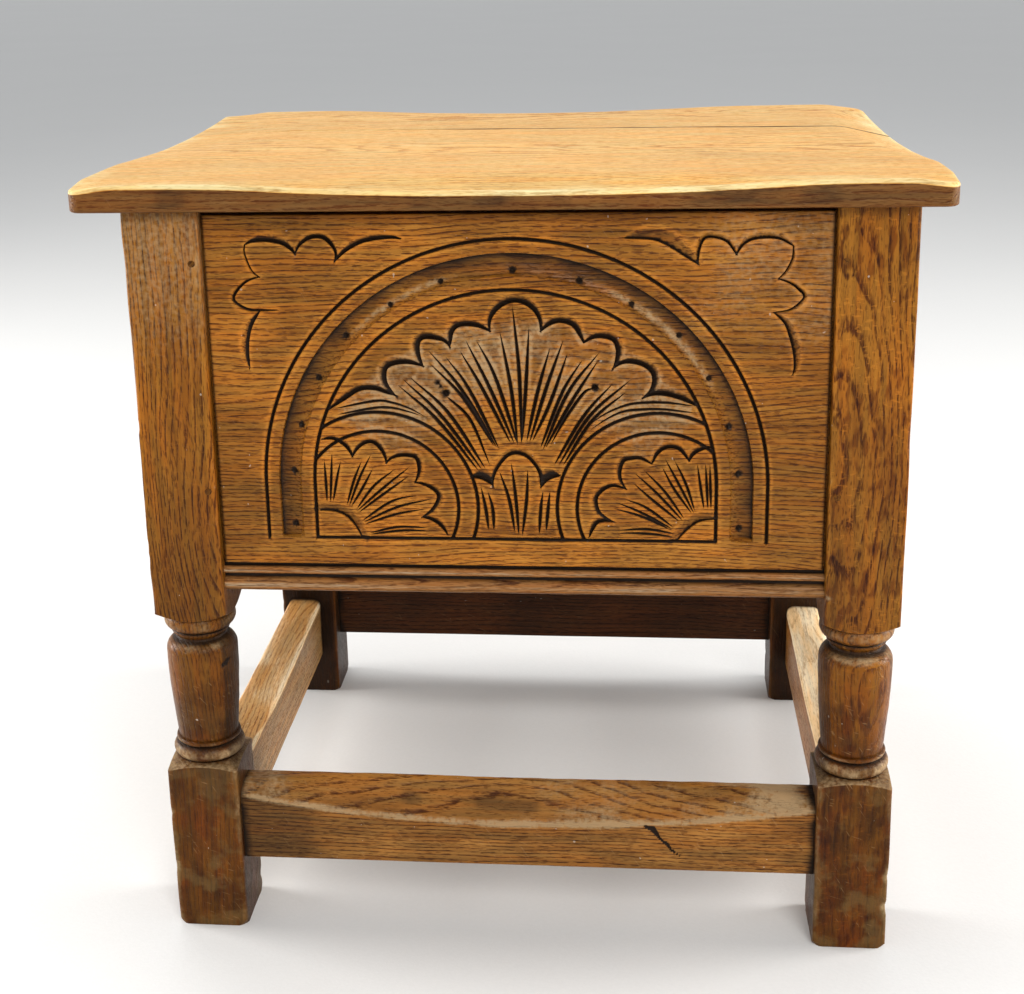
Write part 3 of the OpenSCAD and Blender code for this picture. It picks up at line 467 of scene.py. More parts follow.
def board(xs, outer, inner, top, under, step, corner=8.0, shares=WALL_SHARES):
    """A board along X between two edges in Y and two faces in Z, both heights over its plan.

    Returns its points, its faces and which side each point is on.
    """
    xs = np.asarray(xs, float)
    y0, y1 = outer(xs)[:, None], inner(xs)[:, None]
    near = EDGE_STEPS[EDGE_STEPS <= corner]
    middle = float((y1 - y0).max()) - 2 * near[-1]
    share = np.linspace(0, 1, max(3, math.ceil(middle / step) + 1))[1:-1]
    across = y0 + near[-1] + (y1 - y0 - 2 * near[-1]) * share
    y = np.hstack([y0 + near, across, (y1 - near)[:, ::-1]])
    x = np.broadcast_to(xs[:, None], y.shape)
    high, low = top(x, y), under(x, y)
    n, k = y.shape[1], len(shares)

    def wall(column, rises):
        z = low[:, column, None] + (high - low)[:, column, None] * rises
        return np.stack([*np.broadcast_arrays(x[:, :1], y[:, column, None], z)], -1)

    rings = np.concatenate([np.stack([x, y, low], -1)[:, ::-1], wall(0, shares),
                            np.stack([x, y, high], -1), wall(-1, shares[::-1])], axis=1)
    sides = np.repeat([UNDER, OUTER, TOP, INNER], [n, k, n, k])
    rows, columns = rings.shape[:2]
    points = [rings.reshape(-1, 3)]
    codes = [np.tile(sides, rows)]
    faces = tube_faces(rows, columns, capped=False)
    count = rows * columns
    # Each end is a grid between the underside's and the top's points
    for row in (0, rows - 1):
        grid = np.empty((k + 2, n), int)
        grid[0] = row * columns + np.arange(n)[::-1]
        grid[-1] = row * columns + n + k + np.arange(n)
        grid[1:-1, 0] = row * columns + n + np.arange(k)
        grid[1:-1, -1] = row * columns + 2 * n + k + np.arange(k)[::-1]
        grid[1:-1, 1:-1] = count + np.arange(k * (n - 2)).reshape(k, n - 2)
        z = low[row, 1:-1] + (high - low)[row, 1:-1] * shares[:, None]
        points.append(np.stack([*np.broadcast_arrays(xs[row], y[row, 1:-1], z)], -1).reshape(-1, 3))
        codes.append(np.full(z.size, OUTER))
        count += z.size
        faces += np.stack([grid[:-1, :-1], grid[:-1, 1:], grid[1:, 1:], grid[1:, :-1]],
                          -1).reshape(-1, 4).tolist()
    return np.vstack(points), faces, np.concatenate(codes)


def along(length, step, ends=(0.0, 0.4, 1.2, 3.0)):
    """Places along a board of that length about 0, closer together near its ends."""
    half = length / 2
    ends = half - np.array(ends)
    middle = np.linspace(-ends[-1], ends[-1], max(2, math.ceil(2 * ends[-1] / step) + 1))
    return np.r_[-ends, middle[1:-1], ends[::-1]]


# ---- turned legs ----

FLAT_STEPS, CORNER_STEPS = 15, 5
# Slopes of the shoulders above the foot and below the upper block, and the chamfer under the foot
FOOT_SLOPE, BLOCK_SLOPE, FOOT_CHAMFER = 0.35, 0.55, 3.5
# Chips in the corners of both blocks: how many, and how far each reaches up and round
FOOT_CHIPS, BLOCK_CHIPS, CHIP_HEIGHT, CHIP_WIDTH = 9, 14, 3.2, 3.0
FILLET, QUIRK = 1.5, 1.6


def square_ring(half, rounding):
    """Plan of a square leg with rounded corners, one closed ring of points."""
    turn = np.radians(np.linspace(0, 90, CORNER_STEPS))
    corner = half - rounding + rounding * np.column_stack([np.cos(turn), np.sin(turn)])
    flat = np.linspace(half - rounding, rounding - half, FLAT_STEPS + 1)[1:-1]
    side = np.vstack([corner, np.column_stack([flat, np.full(len(flat), half)])])
    quarter = np.array([[0, 1], [-1, 0]])
    sides = [side]
    for _ in range(3):
        sides.append(sides[-1] @ quarter)
    return np.vstack(sides)


def turned_profile(s):
    """Radius and height of what the lathe leaves between the two square blocks."""
    half = LEG_W / 2
    foot, block = s.foot_block / MM, s.upper_block / MM
    ring, bead = s.ring / MM, s.bead / MM
    ring_z = foot + QUIRK + ring
    fillet_z = ring_z + ring + QUIRK / 2 + FILLET
    baluster_z = fillet_z + FILLET + QUIRK / 2
    bead_z = block + QUIRK - bead
    neck_fillet_z = bead_z - bead - FILLET
    neck_z = neck_fillet_z - FILLET
    shoulder, cove = s.shoulder / MM, s.neck_curve / MM
    shoulder_z = neck_z - 2 * cove - shoulder + QUIRK / 2
    foot_r, shoulder_r, neck_r = half - 4, half - 0.4, half - 7.4
    rise = np.linspace(0, 1, 36)
    baluster = zip(foot_r + (shoulder_r - foot_r) * np.sin(rise * math.pi / 2),
                   baluster_z + rise * (shoulder_z - baluster_z))
    return np.array([
        (foot_r, foot + FOOT_SLOPE * (half - foot_r)),
        *bulge(half - 0.2 - ring, ring_z, ring, -72, 72, 15),
        (foot_r - 0.5, ring_z + ring + 0.2),
        *bulge(half - 2.2 - FILLET, fillet_z, FILLET, -90, 90, 7),
        (foot_r - 0.3, fillet_z + FILLET + 0.2),
        *baluster,
        *bulge(shoulder_r - shoulder, shoulder_z, shoulder, 10, 64, 9),
        (neck_r + 0.4, neck_z - 1.6 * cove), (neck_r, neck_z - cove), (neck_r + 0.5, neck_z - 0.4 * cove),
        *bulge(half - 4.6 - FILLET, neck_fillet_z, FILLET, -90, 80, 7),
        *bulge(half - 0.2 - bead, bead_z, bead, -80, 37, 14),
    ])


def leg_rows(s, seed, slit, top_bloom):
    """Rings of a leg about its own axis, with the wear, the grime and painted shade, and the dry bloom and
    painted highlights of each point.
    """
    half = LEG_W / 2
    foot, block = s.foot_block / MM, s.upper_block / MM
    rng = np.random.default_rng(seed)
    plain = square_ring(half, 1.5)
    angle = np.arctan2(plain[:, 1], plain[:, 0])
    reach = np.hypot(*plain.T)
    is_corner = ease(half * 1.30, half * 1.37, reach)
    chips = np.vstack([np.column_stack([rng.uniform(low, high, count), rng.integers(0, 4, count) * 90 + 45])
                       for low, high, count in ((5, foot, FOOT_CHIPS), (block, LEG_H - 20, BLOCK_CHIPS))])
    chip_depth = rng.uniform(0.4, 1.3, len(chips))
    rows, marks = [], []

    def turned_from(degrees):
        """How far round the leg each point is from a direction."""
        return (angle - math.radians(degrees) + math.pi) % (2 * math.pi) - math.pi

    def add(plan, z, wear, grime, bloom=0.0):
        """One ring of points with its marks."""
        rows.append(np.column_stack([plan, np.broadcast_to(z, len(plan))]))
        marks.append([np.broadcast_to(mark, len(plan)) for mark in (wear, grime, bloom)])

    def block_rows(bottom, top, edge_wear, edge_bloom, low_grime, top_grime):
        """A square block with worn and chipped corners, between two heights given all round."""
        count = round(float(top.mean() - bottom.mean()) / 3.5)
        for share in np.linspace(0, 1, count):
            z = bottom + share * (top - bottom)
            rounding = 1.9 + 1.3 * float(waver(z.mean(), seed, 22, seed))
            ring = square_ring(half, max(0.8, rounding))
            ring = ring * (1 - 0.006 * (1 + waver(angle * 22, z, 26, seed + 1)))[:, None]
            dent = np.zeros(len(z))
            for (chip_z, chip_turn), depth in zip(chips, chip_depth):
                dent += depth * np.exp(-((z - chip_z) / CHIP_HEIGHT) ** 2
                                       - (turned_from(chip_turn) * half / CHIP_WIDTH) ** 2)
            size = np.hypot(*ring.T)
            ring = ring * (np.minimum(size - dent, half * math.sqrt(2) - FOOT_CHAMFER + z) / size)[:, None]
            rubbed = (0.6 + 0.4 * waver(angle * 22, z, 14, seed + 2)) * is_corner
            wear = edge_wear * rubbed + 0.3 * dent + 0.16 + 0.16 * waver(angle * 22, z, 40, seed + 3)
            grime = np.maximum(low_grime * ease(0.12, 0.0, share), top_grime * ease(0.93, 1.0, share))
            add(ring, z, wear, grime, edge_bloom * rubbed + 0.25 * dent + top_bloom * ease(330, 480, z))

    def shoulder(r_end, z_at, slope, shares):
        """The slope from a square block's edge in to what the lathe left."""
        for share in shares:
            r = reach + (r_end - reach) * share
            add(np.column_stack([np.cos(angle) * r, np.sin(angle) * r]), z_at + slope * (r - half),
                0.5 if share < 0.1 else 0.2, 0.20 * share, 0.56 - 0.3 * share if slope < 0 else 0.0)

    block_rows(np.zeros_like(reach), foot - FOOT_SLOPE * (reach - half) - 0.8, 0.75, 0.32, 0.20, 0.0)
    profile = turned_profile(s)
    shoulder(profile[0, 0], foot, -FOOT_SLOPE, (0.04, 0.3, 0.6, 0.85))
    # What the lathe left: grime and painted shade lie where the profile is lower than what is round it
    peak = np.array([profile[np.abs(profile[:, 1] - z) < 3.6, 0].max() for z in profile[:, 1]])
    sunk = np.clip((peak - profile[:, 0]) / 4.0, 0, 1)
    for (r, z), low in zip(profile, sunk):
        thick = r + 0.16 * waver(angle * 22, z, 8, seed + 4) + 0.1 * waver(angle * 22, z, 30, seed + 5)
        crest = ease(half - 4.0, half - 1.0, r) * (1 - low)
        on_ring = max(ease(18, 15, z - foot), ease(13, 11, block - z))
        grime = 0.40 * low ** 1.3 + 0.13 * on_ring
        if slit:
            off = turned_from(SLIT[0]) * half
            cut = np.exp(-((z - SLIT[1] - 0.4 * off) / 1.4) ** 4 - (off / 3.4) ** 4)
            thick, grime = thick - 1.6 * cut, np.maximum(grime, 0.9 * cut)
        thick = np.minimum(thick, half - 0.05)
        # The rings' crests carry a painted highlight, the baluster's shoulder a dusty ring that is partly a
        # painted highlight
        bloom = (0.62 - 0.24 * ease(180, 200, z)) * crest * on_ring
        bloom += 0.50 * math.exp(-((z - block + 20) / 3.6) ** 2)
        add(np.column_stack([np.cos(angle) * thick, np.sin(angle) * thick]), z,
            0.2 + 0.30 * crest + 0.26 * waver(angle * 22, z, 12, seed + 6), grime,
            bloom * (0.75 + 0.5 * waver(angle * 22, z, 9, seed + 7)))
    shoulder(profile[-1, 0], block, BLOCK_SLOPE, (0.85, 0.6, 0.3, 0.04))
    block_rows(block + BLOCK_SLOPE * (reach - half) + 0.8, np.full_like(reach, LEG_H), 0.42, 0.0, 0.0, 0.22)
    return np.array(rows), *np.array(marks).transpose(1, 0, 2)


# Where the tree's middle lay from each leg's axis, in metres, and the heights where its darkening towards the
# floor ends, partly patina and partly painted shade
HEARTS = ((0.05, 0.035), (-0.03, 0.05), (-0.04, -0.06), (0.05, -0.04))
PATINA_AND_SHADE_HEIGHTS = ((0.14, 0.38), (0.05, 0.42), (0.10, 0.45), (0.10, 0.45))
# The short dark slit in the left baluster: its turn in degrees and its height
SLIT = (-36.0, 194.0)


class STOOL_OT_legs(bpy.types.Operator):
    """Turns the four legs, square above and below"""
    bl_idname = "stool.legs"
    bl_label = "Turned legs"

    def execute(self, context):
        woods = context.scene.stool_woods
        for number, side in enumerate(LEGS):
            low, high = cad_box("leg_" + side)
            rows, wear, grime, bloom = leg_rows(context.scene.stool_legs, 40 + 11 * number, number == 0,
                                                 0.36 if number == 0 else 0.08)
            points = rows.reshape(-1, 3) + [(low[0] + high[0]) / 2, (low[1] + high[1]) / 2, 0]
            front = side.startswith("front")
            # The rear legs take a darker copy of the legs' oak: painted shade of their place under the box
            body = woods.leg if front else tone(woods.leg, 0.62)
            centre = (low + high) * MM / 2
            bare = woods.dusty if front else tone(body, 2.0)
            heart = (centre[0] + HEARTS[number][0], centre[1] + HEARTS[number][1])
            finish = oak(f"leg_oak_{side}", "Z", body, tone(body, 1.3), bare, 4.3 * number, heart=heart,
                         flecks=0.85 if number == 1 else 0.3, patina_and_shade=PATINA_AND_SHADE_HEIGHTS[number],
                         dust=0.42 if front else 0.1, scratches=0.30 if front else 0.15, specks=0.4,
                         shine=0.3)
            # Painted shade: below the box the faces that look inwards are darkened, on the rear legs the
            # front too
            turn = np.arctan2(rows[..., 1], rows[..., 0])
            inside = ease(0.68, 0.76, np.cos(turn) * (1 if side.endswith("left") else -1))
            if not front:
                inside = np.maximum(inside, ease(0.68, 0.76, -np.sin(turn)))
            black = (0.30 if front else 0.33) + 0.04 * waver(turn * 22, rows[..., 2], 30, number)
            grime = np.maximum(grime, black * inside * ease(260, 215, rows[..., 2]))
            marks = {"wear": wear, "grime": grime, "bloom": bloom * (1.0 if front else 0.3)}
            piece(f"oak_leg_{side}", points, tube_faces(*rows.shape[:2]), marks, finish, "stand", "oak_legs",
                  ["leg_" + side])
        return {"FINISHED"}


# ---- stretchers ----

# The crack in the front stretcher's face, from the bar's middle and its underside
CRACK = np.array([(81.0, 32.4), (86.0, 30.8), (88.4, 27.4), (91.6, 22.6), (95.4, 20.0), (98.0, 15.8),
                  (104.0, 11.0)])
CRACK_WIDTHS = np.array([1.4, 3.6, 2.4, 0.8, 1.9, 1.1, 0.4])
# Its depth, and the stretch of the bar where a finer mesh makes room for it
CRACK_DEPTH, CRACK_ENDS = 1.1, (77, 107)


class STOOL_OT_stretchers(bpy.types.Operator):
    """Shapes the four low stretchers with the hollows that feet have worn in them"""
    bl_idname = "stool.stretchers"
    bl_label = "Worn stretchers"

    def execute(self, context):
        woods, bars = context.scene.stool_woods, context.scene.stool_bars
        gold, bare, plain = woods.rubbed, woods.bare, woods.stretcher
        # Depth of the hollow, its slope and how far its ends lie below the top
        front_wear, side_wear = (bars.front_wear / MM, 41.0, 6.0), (bars.side_wear / MM, 24.0, 0.0)
        self.bar("front", bars, front_wear, 0.30, plain, tone(plain, 1.6), woods.dusty, 60)
        # The rear bar's dark oak is partly painted shade of its place under the box
        self.bar("rear", bars, None, 0.05, woods.rear, tone(woods.rear, 1.6), woods.rear, 71)
        # The right bar is paler than the left: partly wear, partly painted light falling from the right
        self.bar("left", bars, side_wear, 0.78, tone(gold, 0.48), gold, bare, 82)
        self.bar("right", bars, side_wear, 1.02, plain, tone(bare, 0.9), tone(bare, 1.08), 93)
        return {"FINISHED"}

    def bar(self, side, bars, hollow, polish_and_light, body, rubbed, bare, seed):
        """A bar along X from its outer face at Y = 0, then moved to its side of the stool."""
        low, high = cad_box("stretcher_" + side)
        turned, front = SIDES[side][0], side == "front"
        thick = (high - low)[0 if turned else 1]
        height = high[2] - low[2]
        half = between_legs(turned) / 2
        rounding = (bars.side_rounding if turned else bars.rounding) / MM

        def top(x, y):
            whole = height - arris(np.minimum(y, thick - y), rounding)
            if hollow:
                depth, slope, ends = hollow
                inward = thick - y if turned else y
                worn = height - ends + worn_hollow(x, inward, half, depth, slope)
                whole = soft_min(whole, worn, 2.4)
            return whole - 0.22 * (1 + waver(x, y, 17, seed)) - 0.12 * (1 + waver(x, y, 5, seed + 1))

        def under(x, y):
            return arris(np.minimum(y, thick - y), 1.2)

        xs, shares = along(2 * half + 2, 4.0), WALL_SHARES
        if front:
            xs = np.unique(np.r_[xs, np.arange(*CRACK_ENDS, 0.9)])
            shares = np.linspace(0.03, 0.97, 26)
        points, faces, codes = board(xs, np.zeros_like, lambda x: np.full_like(x, thick), top, under, 2.4,
                                     corner=8.0 if turned else 5.5, shares=shares)
        x, y, z = points.T
        fallen = top(x, y) - z
        near_leg = ease(34, 4, half - np.abs(x))
        to_edge = np.where(codes == TOP, np.minimum(y, thick - y), np.where(codes == UNDER, 9.0, fallen))
        # The rounded upper edges are worn pale and carry a painted highlight; at and near the legs the bars
        # are darker, with grime and painted shade
        ridge = np.exp(-(to_edge / 1.7) ** 2) * (0.55 + 0.35 * waver(x, z, 18, seed + 4))
        wear = np.where(codes == TOP, polish_and_light + 0.08 * ease(0, 12, height - z), 0.16)
        wear += 0.16 * waver(x, (z + y) * 2, 30, seed + 2) - 0.35 * near_leg + (polish_and_light + 0.2) * ridge
        grime = 0.30 * ease(5, 0, half - np.abs(x)) + 0.13 * near_leg * (1 + waver(x, z, 9, seed + 5))
        bloom = (0.5 if turned else 0.35) * ridge * (side != "rear")
        # Painted shade on every face of the rear bar but its outer one
        if side == "rear":
            grime = np.maximum(grime, (0.30 + 0.03 * waver(x, z, 26, seed + 7)) * (codes != OUTER))
        if turned:
            # Painted shade: the side bars darken towards the front leg, the left one most, and their inner
            # faces show less wear
            shaded = ease(190, 30, half + x) * (1.0 if side == "left" else 0.4)
            grime = np.maximum(grime, (0.24 + 0.03 * waver(x, y, 20, seed + 6)) * shaded)
            wear -= 0.25 * shaded + 0.12 * (codes == INNER)
        if front:
            more_wear, more_grime, bloom, cut = self.front_age(x, y, z, half, codes, to_edge)
            wear, grime = wear + more_wear, np.maximum(grime, more_grime)
            points[:, 1] += CRACK_DEPTH * cut * (codes == OUTER)
        points[:, 1] += 0.15 * waver(x, z, 60, seed + 3)
        grain = "Y" if turned else "X"
        finish = oak(f"stretcher_oak_{side}", grain, body, rubbed, bare, seed * 0.37,
                     heart=(low[0 if turned else 1] * MM + 0.05, 0.02), scratches=0.18, specks=0.3,
                     deep=PALE_GRAIN if turned else DARK_GRAIN)
        marks = {"wear": wear, "grime": grime, "bloom": bloom}
        piece(f"oak_stretcher_{side}", into_place(points, low, high, side), faces, marks, finish, "stand",
              "oak_stretchers", ["stretcher_" + side])

    def front_age(self, x, y, z, half, codes, to_edge):
        """What the front stretcher alone has: a dusty edge that is partly a painted highlight, pale ends, the
        right one partly a painted highlight, rubbed patches, dark blots and the crack.
        """
        on_top, outside = codes == TOP, codes == OUTER
        jagged = np.exp(-((to_edge - 0.4) / 1.9) ** 2) * (on_top | outside)
        bloom = jagged * (0.60 + 0.30 * waver(x, z * 2, 12, 61)) * ease(9, 4, y)
        # Pale ends of the top, the right one partly a painted highlight
        ends = np.where(x > 0, 0.85 * ease(46, 30, half - x) * ease(6, 14, half - x),
                        0.55 * ease(52, 12, half + x))
        bloom = np.maximum(bloom, on_top * ends * (0.75 + 0.35 * waver(x, y, 9, 62)))
        bloom += on_top * (0.26 + 0.22 * waver(x, y * 2, 14, 66)) * ease(-60, 60, x)
        rubbed = outside * 0.34 * ease(0.0, 0.8, waver(x * 0.4, z * 1.5, 13, 65)) * ease(60, 110, half + x)
        blots = ease(0.25, 0.8, waver(x, y * 2.5, 26, 63)) * on_top * ease(70, 10, x)
        blots += outside * (ease(78, 38, half + x) + 0.6 * ease(0.35, 0.8, waver(x, 2, 34, 64)))
        gap, stretch, share, _ = from_line(x, z, CRACK)
        cut = ease(0.75, 0.2, gap / between(CRACK_WIDTHS, stretch, share)) * (outside | (on_top & (y < 1.6)))
        return rubbed, np.maximum(0.27 * blots, cut), bloom * (1 - cut), cut


# ---- moulded rails, made by a geometry tree ----

class Routine(Graph):
    """A geometry tree with named inputs that ends in real faces with a finish."""

    def __init__(self, name, inputs):
        super().__init__(bpy.data.node_groups.new(name, "GeometryNodeTree"))
        sockets = {"Shape": "NodeSocketGeometry", **inputs, "Finish": "NodeSocketMaterial"}
        self.names = {label: self.tree.interface.new_socket(
            name=label, in_out="INPUT", socket_type=kind).identifier for label, kind in sockets.items()}
        self.tree.interface.new_socket(name="Made", in_out="OUTPUT", socket_type="NodeSocketGeometry")
        self.given = self.add("NodeGroupInput")

    def take(self, label):
        """One of the tree's inputs."""
        return self.given.beside(label)

    def end(self, made):
        """Makes the result real faces with the finish, and gives it out."""
        real = self.add("GeometryNodeRealizeInstances", {}, {"Geometry": made})
        dressed = self.add("GeometryNodeSetMaterial", {}, {"Geometry": real, "Material": self.take("Finish")})
        self.add("NodeGroupOutput", {}, {"Made": dressed})

    def run(self, start, values):
        """Runs the tree on a starting mesh and returns the result as a plain mesh."""
        base = bpy.data.objects.new(self.tree.name, start)
        bpy.context.scene.collection.objects.link(base)
        modifier = base.modifiers.new(self.tree.name, "NODES")
        modifier.node_group = self.tree
        for label, value in values.items():
            modifier[self.names[label]] = value
        done = base.evaluated_get(bpy.context.evaluated_depsgraph_get())
        mesh = bpy.data.meshes.new_from_object(done)
        base.modifiers.remove(modifier)
        bpy.data.objects.remove(base)
        return mesh


def moulding_routine():
    """Draws a moulding's section along a straight line and lets its faces waver a little."""
    r = Routine("moulded_rail", {
        "From": "NodeSocketVector", "To": "NodeSocketVector", "Step": "NodeSocketFloat",
        "Waver": "NodeSocketFloat", "Seed": "NodeSocketFloat"})
    line = r.add("GeometryNodeCurvePrimitiveLine", {}, {"Start": r.take("From"), "End": r.take("To")})
    line = r.add("GeometryNodeResampleCurve", {"mode": "LENGTH"}, {"Curve": line, "Length": r.take("Step")})
    line = r.add("GeometryNodeSetCurveNormal", {"mode": "Z_UP"}, {"Curve": line})
    section = r.add("GeometryNodeMeshToCurve", {}, {"Mesh": r.take("Shape")})
    bar = r.add("GeometryNodeCurveToMesh", {}, {"Curve": line, "Profile Curve": section, "Fill Caps": True})
    spot = r.add("GeometryNodeInputPosition")
    noise = r.add("ShaderNodeTexNoise", {"noise_dimensions": "4D"}, {
        "Vector": spot, "W": r.take("Seed"), "Scale": 45.0, "Detail": 1.0}, "Color")
    middle = r.add("ShaderNodeVectorMath", {"operation": "SUBTRACT"}, {0: noise, 1: (0.5, 0.5, 0.5)})
    shift = r.add("ShaderNodeVectorMath", {"operation": "SCALE"}, {0: middle, "Scale": r.take("Waver")})
    r.end(r.add("GeometryNodeSetPosition", {}, {"Geometry": bar, "Offset": shift}))
    return r


def rail_section(s, thick, height):
    """Section of a rail, outer face at 0, as points with their wear, and their grime and painted shade."""
    small, groove, depth = s.upper_bead / MM, s.groove / MM, s.groove_depth / MM
    upper_z = height - groove - small
    large = (upper_z - small - groove) / 2
    lower = [(large - x, z, w, g) for x, z, w, g in bead_marks(large, large, -90, 75)]
    upper = [(small - x, z, w, g) for x, z, w, g in bead_marks(small, upper_z, -90, 90)]
    return [*lower, (depth, 2 * large + 0.4, 0.0, 1.0), (depth, upper_z - small - 0.3, 0.0, 1.0), *upper,
            (depth, upper_z + small + 0.1, 0.0, 1.0), (depth, height - 0.4, 0.0, 0.6),
            (depth + 0.6, height, 0.1, 0.3), (thick - 1, height, 0.1, 0.1), (thick, height - 1, 0.1, 0.0),
            (thick, 1, 0.1, 0.0), (thick - 1, 0, 0.1, 0.0)]


def bead_marks(radius, middle, low, high):
    """Points of a bead with the wear of its crown, and the grime and painted shade at its foot."""
    for a in np.radians(np.linspace(low, high, 13)):
        crown = math.cos(a)
        out, up = radius * crown, middle + radius * math.sin(a)
        yield out, up, 0.2 + 0.65 * crown ** 3, 0.42 * (1 - crown) ** 1.5


class STOOL_OT_rails(bpy.types.Operator):
    """Runs the two-bead moulding along the four bottom rails"""
    bl_idname = "stool.rails"
    bl_label = "Moulded rails"

    def execute(self, context):
        woods, bars = context.scene.stool_woods, context.scene.stool_bars
        routine = moulding_routine()
        for number, (node, side) in enumerate((
                ("front_rail", "front"), ("back_rail", "back"), ("side_rail_left", "left"),
                ("side_rail_right", "right"))):
            turned, sign = SIDES[side]
            low, high = cad_box(node)
            height = high[2] - low[2]
            thick = (high - low)[0 if turned else 1]
            section = rail_section(bars, thick, height)
            wire = bpy.data.meshes.new("rail_wire")
            count = len(section)
            # A line's section is drawn with its height downwards
            wire.from_pydata([(x * MM, -z * MM, 0) for x, z, *_ in section],
                             [(i, (i + 1) % count) for i in range(count)], [])
            for mark, column in (("wear", 2), ("grime", 3)):
                wire.attributes.new(mark, "FLOAT", "POINT").data.foreach_set(
                    "value", [row[column] for row in section])
            half = between_legs(turned) / 2 + 1
            middle = STAND_Y if turned else STAND_X
            face = (low if sign > 0 else high)[0 if turned else 1]
            # The section's outer side lies to the left of the way the line runs
            places = (middle - half, middle + half)
            if (sign > 0) != turned:
                places = places[::-1]
            start, stop = [[c * MM for c in ((face, place) if turned else (place, face))] + [low[2] * MM]
                           for place in places]
            finish = oak(f"rail_oak_{number}", "Y" if turned else "X", woods.rail, tone(woods.rail, 1.9),
                         woods.dusty, 21.0 + number, heart=(0.05, -0.12), scratches=0.2)
            mesh = routine.run(wire, {
                "From": start, "To": stop, "Step": 0.004, "Waver": 0.0005, "Seed": float(number),
                "Finish": finish})
            dress(mesh, "oak_" + node, finish, "stand", "oak_rails", [node], crease=40)
        return {"FINISHED"}


# ---- panels ----

# The tongues' thickness and how far they reach into the legs; the play beside each panel's face
TONGUE, TONGUE_REACH, PANEL_CLEARANCE = 8.0, 10.8, 0.8


def slab(low, high):
    """Corners and faces of a plain block that lies out of sight in a groove."""
    points = [(x, y, z) for x in (low[0], high[0]) for y in (low[1], high[1]) for z in (low[2], high[2])]
    return points, [(0, 1, 3, 2), (4, 6, 7, 5), (0, 4, 5, 1), (2, 3, 7, 6), (0, 2, 6, 4), (1, 5, 7, 3)]


def with_tongues(points, faces, marks, half, thick, height):
    """Adds the two tongues that sit in the legs' grooves; X along, Y inward, Z up."""
    for sign in (-1, 1):
        ends = sorted((sign * (half - 1), sign * (half + TONGUE_REACH)))
        corners, sides = slab((ends[0], (thick - TONGUE) / 2, 0.5),
                              (ends[1], (thick + TONGUE) / 2, height - 0.5))
        faces += [tuple(i + len(points) for i in side) for side in sides]
        points = np.vstack([points, corners])
        marks = {name: np.r_[values, np.zeros(8)] for name, values in marks.items()}
    return points, faces, marks


class STOOL_OT_panels(bpy.types.Operator):
    """Fits the plain back and side panels between the legs"""
    bl_idname = "stool.panels"
    bl_label = "Plain panels"

    def execute(self, context):
        woods = context.scene.stool_woods
        for number, (node, side) in enumerate((
                ("back_panel", "back"), ("side_panel_left", "left"), ("side_panel_right", "right"))):
            turned = SIDES[side][0]
            low, high = cad_box(node)
            thick, height = (high - low)[0 if turned else 1], high[2] - low[2]
            half = between_legs(turned) / 2 - PANEL_CLEARANCE
            seed = 140 + 7 * number

            def to_edge(x, z):
                """Distance from the nearest edge of the panel's face."""
                return np.minimum(np.minimum(z, height - z), half - np.abs(x))

            def face(x, z):
                """Height of the outer face, with the marks that an old plane left."""
                marks = 0.25 * (1 + waver(x, z, 34, seed)) + 0.14 * (1 + waver(x * 0.3, z, 9, seed + 1))
                return thick - marks - arris(to_edge(x, z), 1.2)

            # The board is made lying down, its width along Y, then stood up
            points, faces, codes = board(along(2 * half, 5.0), np.zeros_like,
                                         lambda x: np.full_like(x, height), face,
                                         lambda x, y: np.zeros_like(y), 4.0)
            x, z, y = points.T
            y = thick - y
            edge = to_edge(x, z)
            outside = codes == TOP
            marks = {"wear": 0.14 + 0.2 * waver(x, z, 50, seed + 2) + 0.25 * outside * ease(6, 0, edge),
                     "grime": 0.34 * outside * ease(3, 0, np.minimum(half - np.abs(x), z))}
            points, faces, marks = with_tongues(np.column_stack([x, y, z]), faces, marks, half, thick, height)
            finish = oak(f"panel_oak_{node}", "Y" if turned else "X", woods.panel, tone(woods.panel, 1.5),
                         woods.bare, 31.0 + number, heart=(0.04, 0.30 + 0.05 * number))
            piece("oak_" + node, into_place(points, low, high, side), faces, marks, finish, "stand",
                  "oak_panels", [node])
        return {"FINISHED"}


# ---- the carved front ----
# Carvers' lines in millimetres from the middle of the stool and from the carving's foot line.

FAN_ROOT = (1.0, 10.0)
FAN_LOBES = (
    ((-15, 136), (-14.2, 143.3), (-10.5, 149), (-5.6, 152.6), (0.5, 154.2), (6.5, 152.8), (11.5, 149),
     (15, 143), (16, 136)),
    ((-15, 136), (-22, 138.6), (-29, 139.6), (-34.8, 138.6), (-37.7, 135.3), (-38.9, 130.2), (-40.1, 126.2)),
    ((-40.1, 126.2), (-43.6, 129.5), (-49.2, 130.9), (-55.6, 131.3), (-58.7, 128.6), (-58.8, 121.4),
     (-56.9, 113.7)),
    ((-56.9, 113.7), (-61.9, 114.8), (-67.6, 115.5), (-74.1, 114.8), (-79.2, 112.6), (-80.5, 108.1),
     (-79.6, 102.2), (-74.9, 94.8)),
    ((-74.9, 94.8), (-80.6, 96.2), (-87.7, 98.4), (-97.2, 98), (-107, 92), (-117.6, 85.5)),
    ((16, 136), (22, 140), (28, 141.5), (35, 139.5), (39, 134), (42.2, 128.7)),
    ((42.2, 128.7), (48, 131.5), (54.1, 131.8), (60, 129.5), (62, 124), (61.5, 118), (60.1, 112.6)),
    ((60.1, 112.6), (65.5, 115.5), (71.1, 115.9), (79, 113.5), (83.9, 108.1), (83, 100), (78.2, 93.8)),
    ((78.2, 93.8), (85.3, 95.7), (91.9, 95.4), (101, 92.9), (112, 88.5)),
)
